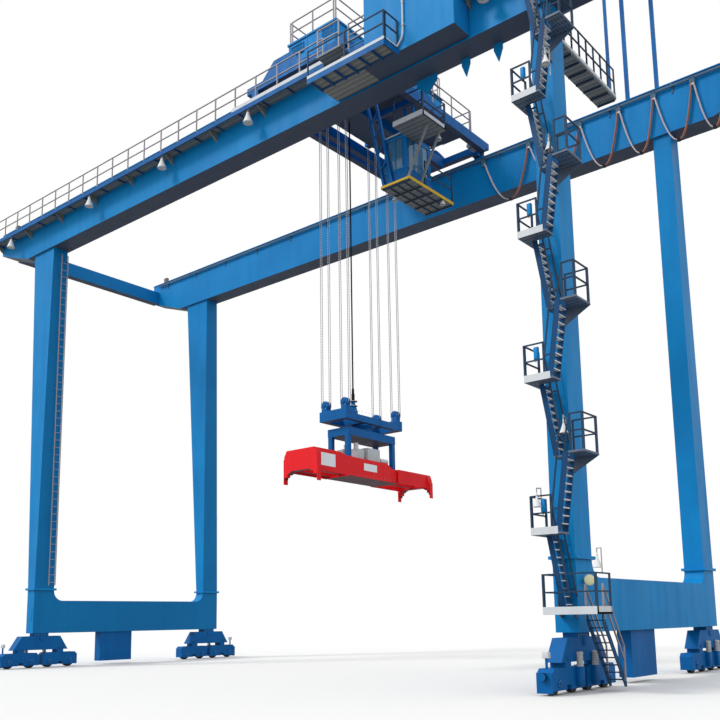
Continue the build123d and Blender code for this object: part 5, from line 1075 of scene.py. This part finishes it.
def make_leg_details():
    """Flange bolts at each leg's foot, and access plates on the sills' ends."""
    bolts, plates = [], []
    for end, sill in ((-1, "left_sill_beam"), (1, "right_sill_beam")):
        low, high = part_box(sill)
        x0, x1 = low[0], high[0]
        step = (x1 - x0 - 0.12) / (FLANGE_COUNT - 1)
        for side in SIDES:
            in_y, out_y = side * FLANGE_Y[0], side * FLANGE_Y[1]
            for z, way in FLANGE_BOLTS:
                for y in (out_y, in_y):
                    row = ((x0 + 0.06, y, z), (step, 0, 0), FLANGE_COUNT)
                    bolts.append(bolt_row(*row, FLANGE_BOLT, way, FLANGE_BOLT))
            for x in (x0 + 0.045, x1 - 0.045):
                for z, way in FLANGE_BOLTS:
                    row = ((x, min(in_y, out_y) + 0.15, z), (0, 0.15, 0), 7)
                    bolts.append(bolt_row(*row, FLANGE_BOLT, way, FLANGE_BOLT))
            # access plate on the sill under each leg
            mid_x, y = end * (LEG_INNER_X + 0.33), side * SILL_END_Y
            plates.append(block((mid_x - 0.20, y, 2.35), (mid_x + 0.20, y + side * 0.02, 2.95)))
    fitted(bolts, "leg_flange_bolts", "gantry", "galvanised", ZINC)
    fitted(plates, "sill_access_plates", "gantry", "structure_blue", edge=0.006)


def make_rail_clips():
    """Clips that hold the trolley rails down on the girders."""
    clips = []
    for y in CLIP_ROWS_Y:
        clip = block((-19.0, y - 0.05, 24.40), (-18.90, y + 0.05, 24.44))
        clips.append(repeated(clip, 51, (0.75, 0, 0)))
    fitted(clips, "rail_clips", "gantry", "galvanised", ZINC, 0.006)


make_floodlights()
make_stair_lamps()
make_toe_plates()
make_platform_frames()
make_stair_boxes()
make_festoon()
make_electrical_house()
make_machinery_house()
make_trolley_gear()
make_cab()
make_ropes()
make_headblock_gear()
make_spreader_gear()
make_bogie_gear()
make_leg_details()
make_rail_clips()


# Floor, light and camera

FLOOR_SIZE = 900
FLOOR_Z = -0.004
bpy.ops.object.select_all(action="DESELECT")
bpy.ops.mesh.primitive_plane_add(size=FLOOR_SIZE, location=(0, 0, FLOOR_Z))
floor = bpy.context.active_object
floor.name = "studio_floor"
floor_paint, tree = new_material("pale_studio_floor")[:2]
# the floor looks pale, but throws less light on the undersides than it would
path = add_node(tree, "LightPath")
seen = add_node(tree, "BsdfDiffuse", {"Color": paint("EDEDEC")})
bounced = add_node(tree, "BsdfDiffuse", {"Color": paint("9E9E9C")})
blend = add_node(tree, "MixShader", (path["Is Camera Ray"], bounced[0], seen[0]))
add_node(tree, "OutputMaterial", {"Surface": blend[0]})
floor.data.materials.append(floor_paint)

world = bpy.data.worlds.new("studio_white")
bpy.context.scene.world = world
world.use_nodes = True
tree = world.node_tree
tree.nodes.clear()
# white behind the crane and in its reflections, a shade less in the light it gets
path = add_node(tree, "LightPath")
either = {"operation": "MAXIMUM"}
shown = add_node(tree, "Math", (path["Is Camera Ray"], path["Is Glossy Ray"]), either)
shown = add_node(tree, "Math", (shown[0], path["Is Transmission Ray"]), either)
level = add_node(tree, "MapRange", (shown[0], 0.0, 1.0, 0.92, 1.0))[0]
sky = add_node(tree, "Background", {"Color": paint("FFFFFF"), "Strength": level})
add_node(tree, "OutputWorld", {"Surface": sky[0]})

bpy.ops.object.light_add(type="SUN", rotation=(math.radians(48), 0, math.radians(-38)))
key = bpy.context.active_object
key.name = "key_light"
key.data.energy = 1.35
key.data.angle = math.radians(14)

# the camera stands near the ground off the near right corner, looking up along the girders
CAMERA_PLACE = (26.940, -30.181, 2.2)
YAW, PITCH, ROLL = math.radians(-39.511), math.radians(9.208), math.radians(-0.857)
forward = Vector((math.sin(YAW) * math.cos(PITCH), math.cos(YAW) * math.cos(PITCH), math.sin(PITCH)))
right = Vector((math.cos(YAW), -math.sin(YAW), 0))
up = right.cross(forward)
rolled_right = right * math.cos(ROLL) + up * math.sin(ROLL)
rolled_up = up * math.cos(ROLL) - right * math.sin(ROLL)
lens = bpy.data.cameras.new("view_camera")
lens.lens = 44.30
lens.sensor_width = 36
lens.shift_x = -0.0014
lens.shift_y = 0.1594
lens.clip_end = 600
camera = bpy.data.objects.new("view_camera", lens)
bpy.context.scene.collection.objects.link(camera)
stand = Matrix((rolled_right, rolled_up, -forward)).transposed().to_4x4()
camera.matrix_world = Matrix.Translation(CAMERA_PLACE) @ stand
bpy.context.scene.camera = camera
bpy.context.scene.view_settings.view_transform = "Standard"
